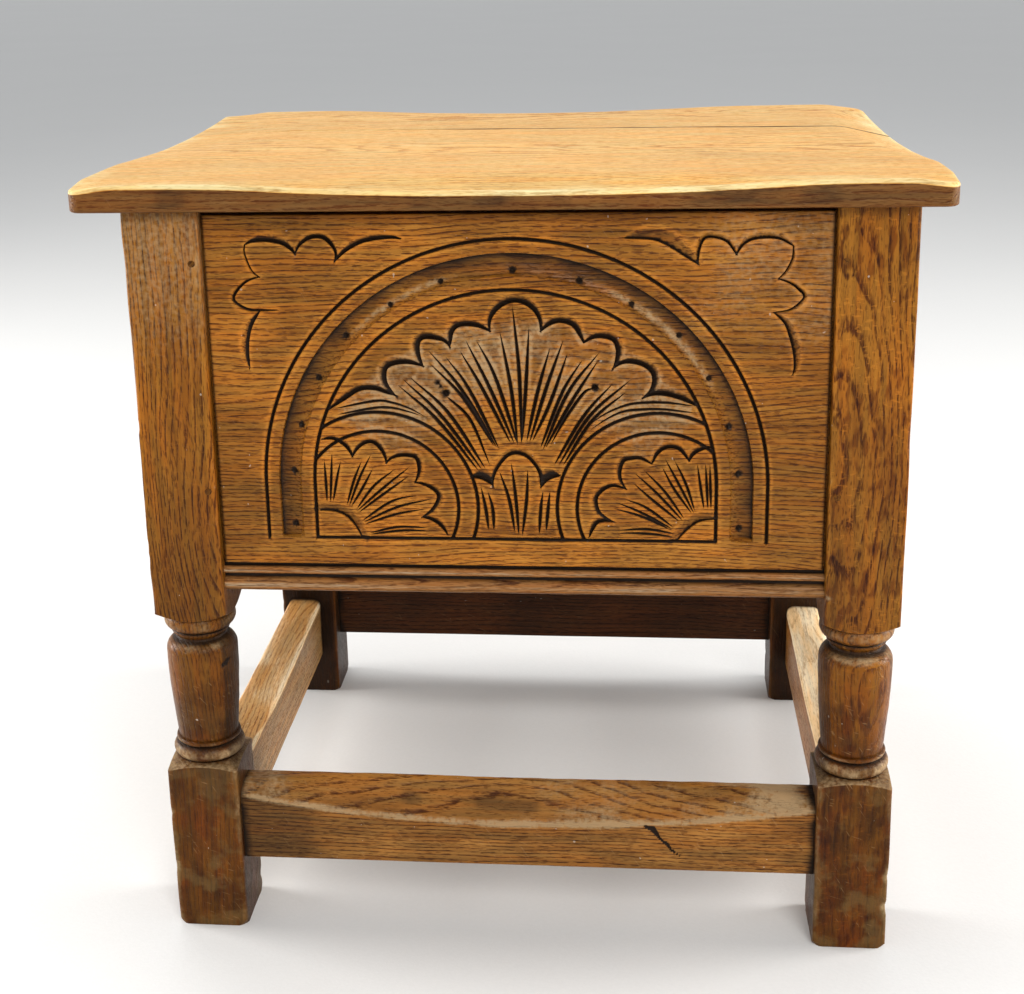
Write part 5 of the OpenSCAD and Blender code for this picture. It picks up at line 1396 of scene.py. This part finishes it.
class STOOL_OT_lid(bpy.types.Operator):
    """Lays the two boards of the lid, hollowed by wear at every edge"""
    bl_idname = "stool.lid"
    bl_label = "Worn lid"

    def execute(self, context):
        self.s, self.woods = context.scene.stool_lid, context.scene.stool_woods
        self.half_x = (LID_HIGH[0] - LID_LOW[0]) / 2
        self.half_y = (LID_BACK - LID_LOW[1]) / 2
        self.board("front", self.edge("front"), self.joint(-1), 300)
        self.board("back", self.joint(1), self.edge("back"), 320)
        return {"FINISHED"}

    def corner(self, side):
        """Radius of the lid's corners on one long side."""
        return (self.s.front_corner if side == "front" else self.s.back_corner) / MM

    def edge(self, side):
        """The lid's outline on one long side, round corners and all."""
        sign, radius = (-1 if side == "front" else 1), self.corner(side)

        def line(x):
            into = np.clip(np.abs(x) - (self.half_x - radius), 0, radius)
            return sign * (self.half_y - radius + np.sqrt(np.maximum(radius ** 2 - into ** 2, 0)))
        return line

    def joint(self, side):
        """One side, or the middle at 0, of the joint, which runs askew and has opened at the right."""
        left, right = self.s.joint_left / MM, self.s.joint_right / MM
        return lambda x: (left + (right - left) * (x + self.half_x) / (2 * self.half_x)
                          + side * (0.1 + 0.5 * ease(-90, 230, x)))

    def inset(self, x, y):
        """Distance in from the lid's rounded outline."""
        radius = np.where(y < 0, self.corner("front"), self.corner("back"))
        dx, dy = np.abs(x) - (self.half_x - radius), np.abs(y) - (self.half_y - radius)
        outside = np.hypot(np.maximum(dx, 0), np.maximum(dy, 0)) + np.minimum(np.maximum(dx, dy), 0)
        return radius - outside

    def hollow(self, x, y):
        """Depth of the wear below the lid's top."""
        level = np.zeros(np.broadcast(x, y).shape)
        inwards = {"front": (x, y + self.half_y), "back": (x, self.half_y - y),
                   "left": (y, x + self.half_x), "right": (y, self.half_x - x)}
        for side, half, depth, slope, place in LID_WEAR:
            run, inward = inwards[side]
            level = soft_min(level, worn_hollow(run - place, inward, half, depth, slope), 1.2)
        for sx in (-1, 1):
            for sy, side in ((-1, "front"), (1, "back")):
                set_in = self.corner(side) * (1 - math.sqrt(0.5))
                px, py = x - sx * (self.half_x - set_in), y - sy * (self.half_y - set_in)
                run, inward = (px * sy - py * sx) / math.sqrt(2), -(px * sx + py * sy) / math.sqrt(2)
                level = soft_min(level, worn_hollow(run, inward, *CORNER_WEAR), 1.0)
        return level

    def board(self, side, outer, inner, seed):
        """One board between two lines along X, its middle at the lid's middle until it is laid."""
        thick = LID_HIGH[2] - LID_LOW[2]
        gap = self.joint(0)

        def top(x, y):
            inset = self.inset(x, y)
            crown = self.hollow(x, y) - arris(inset, 2.0) - arris(np.abs(y - gap(x)), 0.5)
            planed = 0.22 * (1 + waver(x, y, 55, seed)) + 0.1 * (1 + waver(x * 0.35, y, 8, seed + 1))
            return thick + crown - planed

        def under(x, y):
            """The underside, with the two hollows that clear the hinges' knuckles."""
            level = arris(self.inset(x, y), 1.6) + 0.0 * x
            for low, high in HINGES:
                axis_y, axis_z = (low[1] + high[1]) / 2 - LID_CENTRE_Y, (low[2] + high[2]) / 2 - LID_LOW[2]
                over = axis_z + np.sqrt(np.maximum(KNUCKLE_ROOM ** 2 - np.minimum(y - axis_y, 0) ** 2, 0))
                off = np.abs(x - (low[0] + high[0]) / 2)
                level = np.where(off < KNUCKLE_HALF, np.maximum(level, over), level)
            return level

        radius = self.corner(side)
        xs = along(2 * self.half_x, 4.0, np.array([0, 0.012, 0.06, 0.14, 0.25, 0.4, 0.6, 0.8, 1.0]) * radius)
        if side == "back":
            steps = [sign * (KNUCKLE_HALF + d) for sign in (-1, 1) for d in (-0.1, 0.1)]
            xs = np.unique(np.r_[xs, [(low[0] + high[0]) / 2 + step
                                      for low, high in HINGES for step in steps]])
        points, faces, codes = board(xs, outer, inner, top, under, 3.4)
        x, y, z = points.T
        inset = self.inset(x, y)
        fallen = thick - z
        # Gold on top, bright where it is worn, dark on the edges and brown beneath
        on_top = codes == TOP
        worn = 0.66 + 0.08 * waver(x, y, 90, seed + 2) + 0.06 * waver(x * 0.4, y, 26, seed + 3)
        worn += 0.12 * ease(2.0, 8.0, fallen)
        worn += 0.16 * ease(24, 8, inset) * (0.6 + 0.4 * waver(x, y, 40, seed + 4))
        at_front = ease(6.0, 1.5, y + self.half_y)
        worn += (0.10 + 0.20 * at_front) * ease(6.0, 2.0, inset) * (0.75 + 0.25 * waver(x, y, 17, seed + 7))
        wear = np.where(on_top, worn, 0.04 + 0.16 * waver(x, z * 4, 26, seed + 5))
        grime = np.where(on_top, 0.60 * ease(2.6, 0.8, np.abs(y - gap(x))) * ease(-130, 10, x), 0.0)
        front = (codes == OUTER) & (side == "front")
        for place, size in EDGE_STAINS:
            blot = np.exp(-((x - place) / size) ** 4) * (0.23 + 0.08 * waver(x, z * 5, 8, seed + 6))
            grime = np.where(front, np.maximum(grime, blot), grime)
        points = points + [(LID_LOW[0] + LID_HIGH[0]) / 2, LID_CENTRE_Y, LID_LOW[2]]
        woods = self.woods
        gold = woods.lid_top if side == "front" else tone(woods.lid_top, 0.94)
        finish = oak("lid_oak_" + side, "X", woods.lid_edge, gold, woods.lid_rim, seed * 0.11,
                     heart=(-0.05 if side == "front" else 0.16, 0.42), deep=(0.60, 0.40, 0.20), scratches=0.1,
                     shine=0.42, mottle=0.4)
        piece("oak_lid_" + side, points, faces, {"wear": wear, "grime": grime}, finish, "lid", "oak_lid",
              [f"lid_{side}_board"])


# ---- pegs and screws, set by a geometry tree ----

def fitting_routine():
    """Sets one fitting at each point, its head along the point's "out", turned at random."""
    r = Routine("set_fittings", {"Fitting": "NodeSocketObject", "Seed": "NodeSocketInt"})
    out = r.add("GeometryNodeInputNamedAttribute", {"data_type": "FLOAT_VECTOR"}, {"Name": "out"})
    facing = r.add("FunctionNodeAlignRotationToVector", {"axis": "Z"}, {"Vector": out})
    spin = r.add("FunctionNodeRandomValue", {"data_type": "FLOAT"},
                 {2: 0.0, 3: 6.28, "Seed": r.take("Seed")}, 1)
    turn = r.add("ShaderNodeCombineXYZ", {}, {"Z": spin})
    turn = r.add("FunctionNodeEulerToRotation", {}, {0: turn})
    turned = r.add("FunctionNodeRotateRotation", {"rotation_space": "LOCAL"}, {0: facing, 1: turn})
    shape = r.add("GeometryNodeObjectInfo", {}, {"Object": r.take("Fitting")}, "Geometry")
    r.end(r.add("GeometryNodeInstanceOnPoints", {}, {
        "Points": r.take("Shape"), "Instance": shape, "Rotation": turned}))
    return r


def rings_shape(name, rings):
    """A closed turned or whittled shape from rings of points, lowest first, in millimetres."""
    mesh = bpy.data.meshes.new(name)
    rings = np.array(rings)
    mesh.from_pydata((rings.reshape(-1, 3) * MM).tolist(), [], tube_faces(*rings.shape[:2]))
    made = bpy.data.objects.new(name, mesh)
    bpy.context.scene.collection.objects.link(made)
    return made


def whittled_peg(radius, length):
    """A peg cleft and whittled to about eight sides, its end a little domed."""
    turn = np.linspace(0, 2 * math.pi, 17)[:-1]
    shape = radius * (1 - 0.05 * (1 - np.abs(np.cos(turn * 4)))) * (1 - 0.03 * (1 + np.cos(turn * 2 + 0.6)))
    levels = ((-length, 0.9), (-2.0, 1.0), (-0.25, 1.0), (0.0, 0.9), (0.12, 0.6), (0.16, 0.25))
    return rings_shape("whittled_peg", [
        np.column_stack([np.cos(turn) * shape * size, np.sin(turn) * shape * size, np.full(16, z)])
        for z, size in levels])


def slotted_screw(name, head, shank, length):
    """A countersunk wood screw with a filed slot and a thread of rings."""
    turn = np.linspace(0, 2 * math.pi, 33)[:-1]
    across, up = np.cos(turn), np.sin(turn)
    slot = 0.13 * head

    def ring(radius, z):
        return np.column_stack([across * radius, up * radius, np.full(32, z)])

    def filed(radius, deep):
        """A ring of the head whose points by the slot are drawn to its sides."""
        points = ring(radius, 0.0)
        near = np.abs(points[:, 0]) < radius * 0.12 + slot
        points[near, 0] = np.sign(points[near, 0]) * slot
        inside = near & (np.abs(points[:, 0]) <= slot)
        points[inside, 2] = -deep
        return points

    thread = [ring(shank * (1.0 if i % 2 else 0.78), -length + 1.5 + i * (length - head - 3) / 14)
              for i in range(15)]
    return rings_shape(name, [ring(0.1, -length), ring(shank * 0.6, -length + 0.8), *thread,
                              ring(shank, -(head - shank) - 0.4), ring(head * 0.97, -0.25), ring(head, -0.1),
                              ring(head * 0.96, 0.0), filed(head * 0.9, 0.5), filed(head * 0.3, 0.5)])


def set_fittings(routine, name, fitting, places, finish, body, slot, node, seed):
    """One piece of like fittings; places are points with the way each one faces."""
    dots = bpy.data.meshes.new(name + "_dots")
    dots.from_pydata([tuple(c * MM for c in place) for place, out in places], [], [])
    dots.attributes.new("out", "FLOAT_VECTOR", "POINT").data.foreach_set(
        "vector", [c for place, out in places for c in out])
    mesh = routine.run(dots, {"Fitting": fitting, "Seed": seed, "Finish": finish})
    dress(mesh, name, finish, body, slot, [node], crease=35)


class STOOL_OT_pegs(bpy.types.Operator):
    """Drives the pegs that hold the panels' tongues in the legs"""
    bl_idname = "stool.pegs"
    bl_label = "Pegs"

    def execute(self, context):
        woods, s = context.scene.stool_woods, context.scene.stool_fittings
        routine = fitting_routine()
        peg = whittled_peg(s.peg_radius / MM, 20)
        finish = oak("peg_oak", "Y", tone(woods.leg, 0.42), tone(woods.leg, 0.8), woods.leg, 63.0,
                     scratches=0.0)
        heights = (s.lower_peg / MM, s.upper_peg / MM)
        off = LEG_W - s.peg_inset / MM
        for number, (node, plane, sign) in enumerate((
                ("pegs_front", 1, -1), ("pegs_back", 1, 1), ("pegs_left", 0, -1), ("pegs_right", 0, 1))):
            run = 1 - plane
            face = (STAND_LOW if sign < 0 else STAND_HIGH)[plane]
            places = []
            for end in (STAND_LOW[run] + off, STAND_HIGH[run] - off):
                for height in heights:
                    place, out = [0, 0, height], [0, 0, 0]
                    place[run], place[plane], out[plane] = end, face - sign * 0.1, sign
                    places.append((place, out))
            set_fittings(routine, "oak_" + node, peg, places, finish, "stand", "oak_pegs", node, number)
        bpy.data.objects.remove(peg)
        return {"FINISHED"}


# Where the screws' heads lie, as the packed part has them
BATTEN_SCREWS_Y, BATTEN_UNDERSIDE = (-120.5, 5, 130.5), 487.3
LEDGER_SCREWS_X, LEDGER_SCREWS_Z = (-127, 5, 137), 255
LEAF_SCREW_STEPS, LEAF_SCREWS_Y, BOX_LEAF_TOP, LID_LEAF_UNDERSIDE = (-17, 0, 17), 196, 496.7, 498.1


class STOOL_OT_screws(bpy.types.Operator):
    """Drives the steel and brass screws, slots turned at random"""
    bl_idname = "stool.screws"
    bl_label = "Screws"

    def execute(self, context):
        woods, s = context.scene.stool_woods, context.scene.stool_fittings
        routine = fitting_routine()
        steel = metal("old_steel", woods.steel, (0.10, 0.06, 0.04), 0.34, 5.0)
        brass = metal("screw_brass", woods.brass, (0.20, 0.12, 0.05), 0.3, 9.0)
        large = slotted_screw("steel_screw", s.screw_head / MM, 1.9, 20)
        small = slotted_screw("brass_screw", s.hinge_screw_head / MM, 1.4, 9)
        battens = [cad_box(f"lid_batten_{side}") for side in ("left", "right")]
        under = [(((low[0] + high[0]) / 2, y, BATTEN_UNDERSIDE), (0, 0, -1))
                 for low, high in battens for y in BATTEN_SCREWS_Y]
        front, back = cad_box("ledger_front"), cad_box("ledger_back")
        within = [((x, face, LEDGER_SCREWS_Z), (0, way, 0))
                  for face, way in ((front[1][1], 1), (back[0][1], -1)) for x in LEDGER_SCREWS_X]
        leaf_x = [(low[0] + high[0]) / 2 + step for low, high in HINGES for step in LEAF_SCREW_STEPS]
        box_leaf = [((x, LEAF_SCREWS_Y, BOX_LEAF_TOP), (0, 0, 1)) for x in leaf_x]
        lid_leaf = [((x, LEAF_SCREWS_Y, LID_LEAF_UNDERSIDE), (0, 0, -1)) for x in leaf_x]
        for number, (node, fitting, places, finish, body, slot) in enumerate((
                ("batten_screws", large, under, steel, "lid", "steel_screws"),
                ("ledger_screws", large, within, steel, "stand", "steel_screws"),
                ("hinge_screws_box", small, box_leaf, brass, "stand", "brass_hinges"),
                ("hinge_screws_lid", small, lid_leaf, brass, "lid", "brass_hinges"))):
            set_fittings(routine, "set_" + node, fitting, places, finish, body, slot, node, 10 + number)
        bpy.data.objects.remove(large)
        bpy.data.objects.remove(small)
        return {"FINISHED"}


# ---- the plain pieces that keep their packed shape ----

class STOOL_OT_plain_pieces(bpy.types.Operator):
    """Finishes the bottom boards, ledgers, battens and hinge leaves"""
    bl_idname = "stool.plain_pieces"
    bl_label = "Bottom, battens and hinges"

    def execute(self, context):
        woods = context.scene.stool_woods
        inside, used = woods.inside, tone(woods.inside, 1.5)
        boards = {
            "bottom_board_left": "Y", "bottom_board_middle": "Y", "bottom_board_right": "Y",
            "ledger_front": "X", "ledger_back": "X", "lid_batten_left": "Y", "lid_batten_right": "Y"}
        for number, (node, grain) in enumerate(boards.items()):
            self.finish(node, oak("inside_oak_" + node, grain, tone(inside, 0.9 + 0.07 * (number % 3)), used,
                                  woods.bare, 81.0 + 3 * number, heart=(0.02 * number - 0.05, 0.15),
                                  scratches=0.15, shine=0.55))
        leaf = metal("hinge_brass", woods.brass, (0.16, 0.10, 0.05), 0.28, 2.0)
        pin = metal("pin_brass", tone(woods.brass, 1.1), (0.20, 0.13, 0.06), 0.24, 7.0)
        for side in ("left", "right"):
            for part, brass in (("box_leaf", leaf), ("lid_leaf", leaf), ("pin", pin)):
                self.finish(f"hinge_{side}_{part}", brass)
        return {"FINISHED"}

    def finish(self, node, material):
        """Gives a packed piece its finish in every slot."""
        for slot in bpy.data.objects[node].material_slots:
            slot.material = material


# ---- floor, light and camera ----

# Lamps: name, place, size and which power; all aim at one point
LAMPS = (("key", (0.8, -2.6, 2.1), 1.6, "key_power"), ("top", (-0.3, 0.9, 3.0), 1.6, "top_power"),
         ("left", (-2.3, 0.2, 0.75), 1.0, "side_power"), ("right", (2.3, 0.2, 0.75), 1.0, "side_power"))
LAMP_AIM, LAMP_COLOUR, SKY_COLOUR = (0.0, 0.0, 0.25), (1.0, 0.98, 0.95), (0.97, 0.985, 1.0, 1.0)
# The view's film width in millimetres, the shift of its middle as shares of that width, and the
# nearest distance that it sees
SENSOR, LENS_SHIFT, NEAREST = 36.0, (0.02637, -0.12402), 0.01


class STOOL_OT_stage(bpy.types.Operator):
    """Lays a pale floor and sets soft lamps, a pale world and the camera"""
    bl_idname = "stool.stage"
    bl_label = "Floor, light and camera"

    def execute(self, context):
        s = context.scene.stool_stage
        context.scene.view_settings.view_transform = "Standard"
        f = Finish("pale_floor")
        cloud = f.noise(f.place, (1.5, 1.5, 1.5), 3, 2.0)
        grit = f.noise(f.place, (420, 420, 420), 2, 4.0)
        pale = f.mix(cloud, tone(s.floor, 0.97), tone(s.floor, 1.03))
        pale = f.mix(1.0, pale, grit * 0.06 + 0.97, "MULTIPLY")
        material = f.close(pale, 0.6 + (cloud - 0.5) * 0.1, grit, 0.0001)
        shape = bmesh.new()
        bmesh.ops.create_circle(shape, cap_ends=True, segments=96, radius=s.floor_radius)
        mesh = bpy.data.meshes.new("floor")
        shape.to_mesh(mesh)
        shape.free()
        mesh.materials.append(material)
        floor = bpy.data.objects.new("floor", mesh)
        context.scene.collection.objects.link(floor)
        self.world(context, s)
        for name, place, size, power_name in LAMPS:
            self.lamp(context, name, place, size, getattr(s, power_name))
        self.camera(context, s)
        return {"FINISHED"}

    def world(self, context, s):
        """A pale room, which is paler to look at than the light it casts."""
        world = bpy.data.worlds.new("pale_room")
        context.scene.world = world
        world.use_nodes = True
        world.node_tree.nodes.clear()
        g = Graph(world.node_tree)
        camera = g.add("ShaderNodeLightPath", out="Is Camera Ray")
        mirrored = camera.math("MAXIMUM", camera.beside("Is Glossy Ray"),
                               camera.beside("Is Transmission Ray"))
        seen = camera.math("MAXIMUM", camera, mirrored)
        strength = seen * (s.backdrop - s.room_light) + s.room_light
        sky = g.add("ShaderNodeBackground", {}, {"Color": SKY_COLOUR, "Strength": strength})
        g.add("ShaderNodeOutputWorld", {}, {"Surface": sky})

    def lamp(self, context, name, place, size, energy):
        """A round soft lamp aimed at the stool."""
        light = bpy.data.lights.new(name, "AREA")
        light.shape, light.size, light.energy, light.color = "DISK", size, energy, LAMP_COLOUR
        lamp = bpy.data.objects.new(name, light)
        lamp.location = place
        lamp.rotation_euler = (Vector(LAMP_AIM) - Vector(place)).to_track_quat("-Z", "Y").to_euler()
        context.scene.collection.objects.link(lamp)

    def camera(self, context, s):
        """The camera of the fitted view: place, then turn, tilt and roll."""
        lens = bpy.data.cameras.new("view")
        lens.lens, lens.sensor_width, lens.sensor_fit = s.lens, SENSOR, "HORIZONTAL"
        (lens.shift_x, lens.shift_y), lens.clip_start = LENS_SHIFT, NEAREST
        level = math.cos(s.tilt)
        forward = Vector((-math.sin(s.turn) * level, math.cos(s.turn) * level, math.sin(s.tilt)))
        right = Vector((math.cos(s.turn), math.sin(s.turn), 0.0))
        up = right.cross(forward)
        across = math.cos(s.roll) * right + math.sin(s.roll) * up
        above = math.cos(s.roll) * up - math.sin(s.roll) * right
        camera = bpy.data.objects.new("view", lens)
        turned = Matrix((across, above, -forward)).transposed().to_4x4()
        camera.matrix_world = Matrix.Translation(s.camera_place) @ turned
        context.scene.collection.objects.link(camera)
        context.scene.camera = camera


# ---- what a user may change ----

def kind(made, **fixed):
    """A kind of property, to be given its name, description and default."""
    return lambda name, description, value: made(name=name, description=description, default=value, **fixed)


number = kind(bpy.props.FloatProperty)
length = kind(bpy.props.FloatProperty, min=0.0, subtype="DISTANCE", unit="LENGTH")
shift = kind(bpy.props.FloatProperty, subtype="DISTANCE", unit="LENGTH")
turning = kind(bpy.props.FloatProperty, subtype="ANGLE", unit="ROTATION")
power = kind(bpy.props.FloatProperty, min=0.0, subtype="POWER", unit="POWER")
place = kind(bpy.props.FloatVectorProperty, subtype="TRANSLATION", unit="LENGTH")
colour = kind(bpy.props.FloatVectorProperty, size=3, min=0.0, max=1.0, subtype="COLOR")


class StoolWoods(bpy.types.PropertyGroup):
    """Colours of the woods and metals"""
    leg: colour("Legs", "Waxed oak of the legs", (0.296, 0.107, 0.010))
    panel: colour("Panels", "Waxed oak of the panels", (0.27, 0.102, 0.013))
    rail: colour("Rails", "Waxed oak of the moulded rails", (0.17, 0.072, 0.02))
    stretcher: colour("Stretchers", "Waxed oak of the stretchers", (0.246, 0.103, 0.021))
    # Its darkness is partly painted shade under the box
    rear: colour("Rear stretcher", "Dark oak of the stretcher at the back", (0.14, 0.044, 0.009))
    rubbed: colour("Rubbed oak", "Oak where feet have rubbed off the wax", (0.62, 0.34, 0.12))
    bare: colour("Bare oak", "Oak worn through to bare wood", (0.92, 0.70, 0.43))
    dusty: colour("Dusty oak", "Dry, dusty wood of worn edges", (0.44, 0.33, 0.21))
    lid_edge: colour("Lid edge", "Dark edges and underside of the lid", (0.175, 0.074, 0.018))
    lid_top: colour("Lid top", "Gold of the rubbed lid", (0.82, 0.475, 0.135))
    lid_rim: colour("Lid rim", "Pale wood of the lid's worn rim", (0.90, 0.70, 0.33))
    inside: colour("Inside", "Dry oak inside the box", (0.31, 0.175, 0.075))
    # Old wax is also the near-black of painted shade
    wax: colour("Old wax", "Wax and dust in the hollows", (0.012, 0.006, 0.003))
    brass: colour("Brass", "Aged brass of the hinges", (0.60, 0.43, 0.18))
    steel: colour("Steel", "Dull steel of the screws", (0.42, 0.41, 0.40))


class StoolLegs(bpy.types.PropertyGroup):
    """Sizes of the turning"""
    foot_block: length("Foot block", "Height of the square foot", 0.1215)
    upper_block: length("Upper block", "Height where the square top begins", 0.2275)
    ring: length("Ring", "Radius of the half round above the foot", 0.0054)
    bead: length("Bead", "Radius of the bead below the upper block", 0.0064)
    shoulder: length("Shoulder", "Radius of the baluster's top", 0.009)
    neck_curve: length("Neck", "Radius of the hollow neck's curve", 0.0022)


class StoolBars(bpy.types.PropertyGroup):
    """Sizes of the stretchers and rails"""
    front_wear: length("Front wear", "Depth worn into the front stretcher", 0.017)
    side_wear: length("Side wear", "Depth worn into the side stretchers", 0.009)
    rounding: length("Rounding", "Radius of the front and rear stretchers' upper edges", 0.004)
    side_rounding: length("Side rounding", "Radius of the side stretchers' upper edges", 0.006)
    upper_bead: length("Upper bead", "Radius of the rails' upper bead", 0.0027)
    groove: length("Groove", "Width of the rails' grooves", 0.0024)
    groove_depth: length("Groove depth", "Depth of the rails' grooves", 0.0036)


class StoolCarving(bpy.types.PropertyGroup):
    """Sizes of the carved arch and roundels"""
    foot_line: length("Foot line", "Height of the carving's foot line on the panel", 0.0185)
    spring: length("Spring", "Height where the arch springs", 0.0355)
    arch_shift: shift("Arch shift", "Distance of the arch to the right of the middle", -0.0025)
    band_inner: length("Band inside", "Inner radius of the arch's band", 0.135)
    band_outer: length("Band outside", "Outer radius of the arch's band", 0.1495)
    band_depth: length("Band depth", "Depth of the arch's band", 0.004)
    line_radius: length("Inner line", "Radius of the line inside the band", 0.1265)
    outer_line: length("Outer line", "Radius of the line outside the band", 0.158)
    line_width: length("Line width", "Width of the cut lines", 0.003)
    line_depth: length("Line depth", "Depth of the cut lines", 0.0018)
    roundel_spread: length("Roundel place", "Distance of the roundels from the middle", 0.088)
    roundel_height: length("Roundel height", "Height of the roundels' middles", 0.021)
    roundel_outer: length("Roundel outside", "Radius of the roundels' outer line", 0.063)
    roundel_inner: length("Roundel inside", "Radius of the roundels' inner line", 0.0505)


class StoolLid(bpy.types.PropertyGroup):
    """Sizes of the lid"""
    front_corner: length("Front corners", "Radius of the lid's front corners", 0.009)
    back_corner: length("Back corners", "Radius of the lid's back corners", 0.020)
    joint_left: shift("Joint at left", "Place of the joint at the left end", 0.0695)
    joint_right: shift("Joint at right", "Place of the joint at the right end", 0.0525)


class StoolFittings(bpy.types.PropertyGroup):
    """Sizes of the pegs and screws"""
    peg_radius: length("Peg radius", "Radius of the pegs", 0.0025)
    peg_inset: length("Peg inset", "Distance of the pegs from the legs' inner edges", 0.0055)
    lower_peg: length("Lower pegs", "Height of the lower pegs", 0.318)
    upper_peg: length("Upper pegs", "Height of the upper pegs", 0.466)
    screw_head: length("Screw head", "Radius of the steel screws' heads", 0.0037)
    hinge_screw_head: length("Hinge screw head", "Radius of the brass screws' heads", 0.0025)


class StoolStage(bpy.types.PropertyGroup):
    """Floor, lamps and camera"""
    floor: colour("Floor", "Colour of the floor", (0.74, 0.74, 0.735))
    floor_radius: length("Floor radius", "Radius of the floor", 90.0)
    key_power: power("Key lamp", "Power of the main lamp", 62.0)
    top_power: power("Top lamp", "Power of the lamp overhead", 30.0)
    side_power: power("Side lamps", "Power of the low lamps on both sides", 60.0)
    room_light: number("Room light", "Light that the room casts", 0.5)
    backdrop: number("Backdrop", "Paleness of the room as seen", 0.92)
    lens: number("Lens", "Focal length in millimetres", 54.976)
    camera_place: place("Camera place", "Where the camera stands", (0.07735, -1.11784, 0.65321))
    turn: turning("Turn", "Turn of the camera about the upright", 0.0979444)
    tilt: turning("Tilt", "Tilt of the camera up or down", -0.2681713)
    roll: turning("Roll", "Roll of the camera", -0.0239348)


STEPS = (STOOL_OT_stage, STOOL_OT_legs, STOOL_OT_stretchers, STOOL_OT_rails, STOOL_OT_panels,
         STOOL_OT_carved_front, STOOL_OT_lid, STOOL_OT_pegs, STOOL_OT_screws, STOOL_OT_plain_pieces)
GROUPS = {"stool_woods": StoolWoods, "stool_legs": StoolLegs, "stool_bars": StoolBars,
          "stool_carving": StoolCarving, "stool_lid": StoolLid, "stool_fittings": StoolFittings,
          "stool_stage": StoolStage}


class STOOL_PT_panel(bpy.types.Panel):
    """Lists the steps that make the stool and the sizes they read"""
    bl_idname = "STOOL_PT_panel"
    bl_label = "Oak box stool"
    bl_space_type = "VIEW_3D"
    bl_region_type = "UI"
    bl_category = "Stool"

    def draw(self, context):
        for step in STEPS:
            self.layout.operator(step.bl_idname)
        for name, group in GROUPS.items():
            box = self.layout.box()
            box.label(text=group.__doc__)
            for value in group.__annotations__:
                box.prop(getattr(context.scene, name), value)


def register():
    """Makes the steps, the settings and the sidebar known to Blender."""
    for cls in (*GROUPS.values(), *STEPS, STOOL_PT_panel):
        bpy.utils.register_class(cls)
    for name, group in GROUPS.items():
        setattr(bpy.types.Scene, name, bpy.props.PointerProperty(type=group))


def unregister():
    """Takes away what register() made known."""
    for name in GROUPS:
        delattr(bpy.types.Scene, name)
    for cls in (STOOL_PT_panel, *reversed(STEPS), *reversed(GROUPS.values())):
        bpy.utils.unregister_class(cls)


def main():
    """Makes the whole stool, step by step."""
    register()
    for step in STEPS:
        group, name = step.bl_idname.split(".")
        getattr(getattr(bpy.ops, group), name)()


if __name__ == "__main__":
    main()
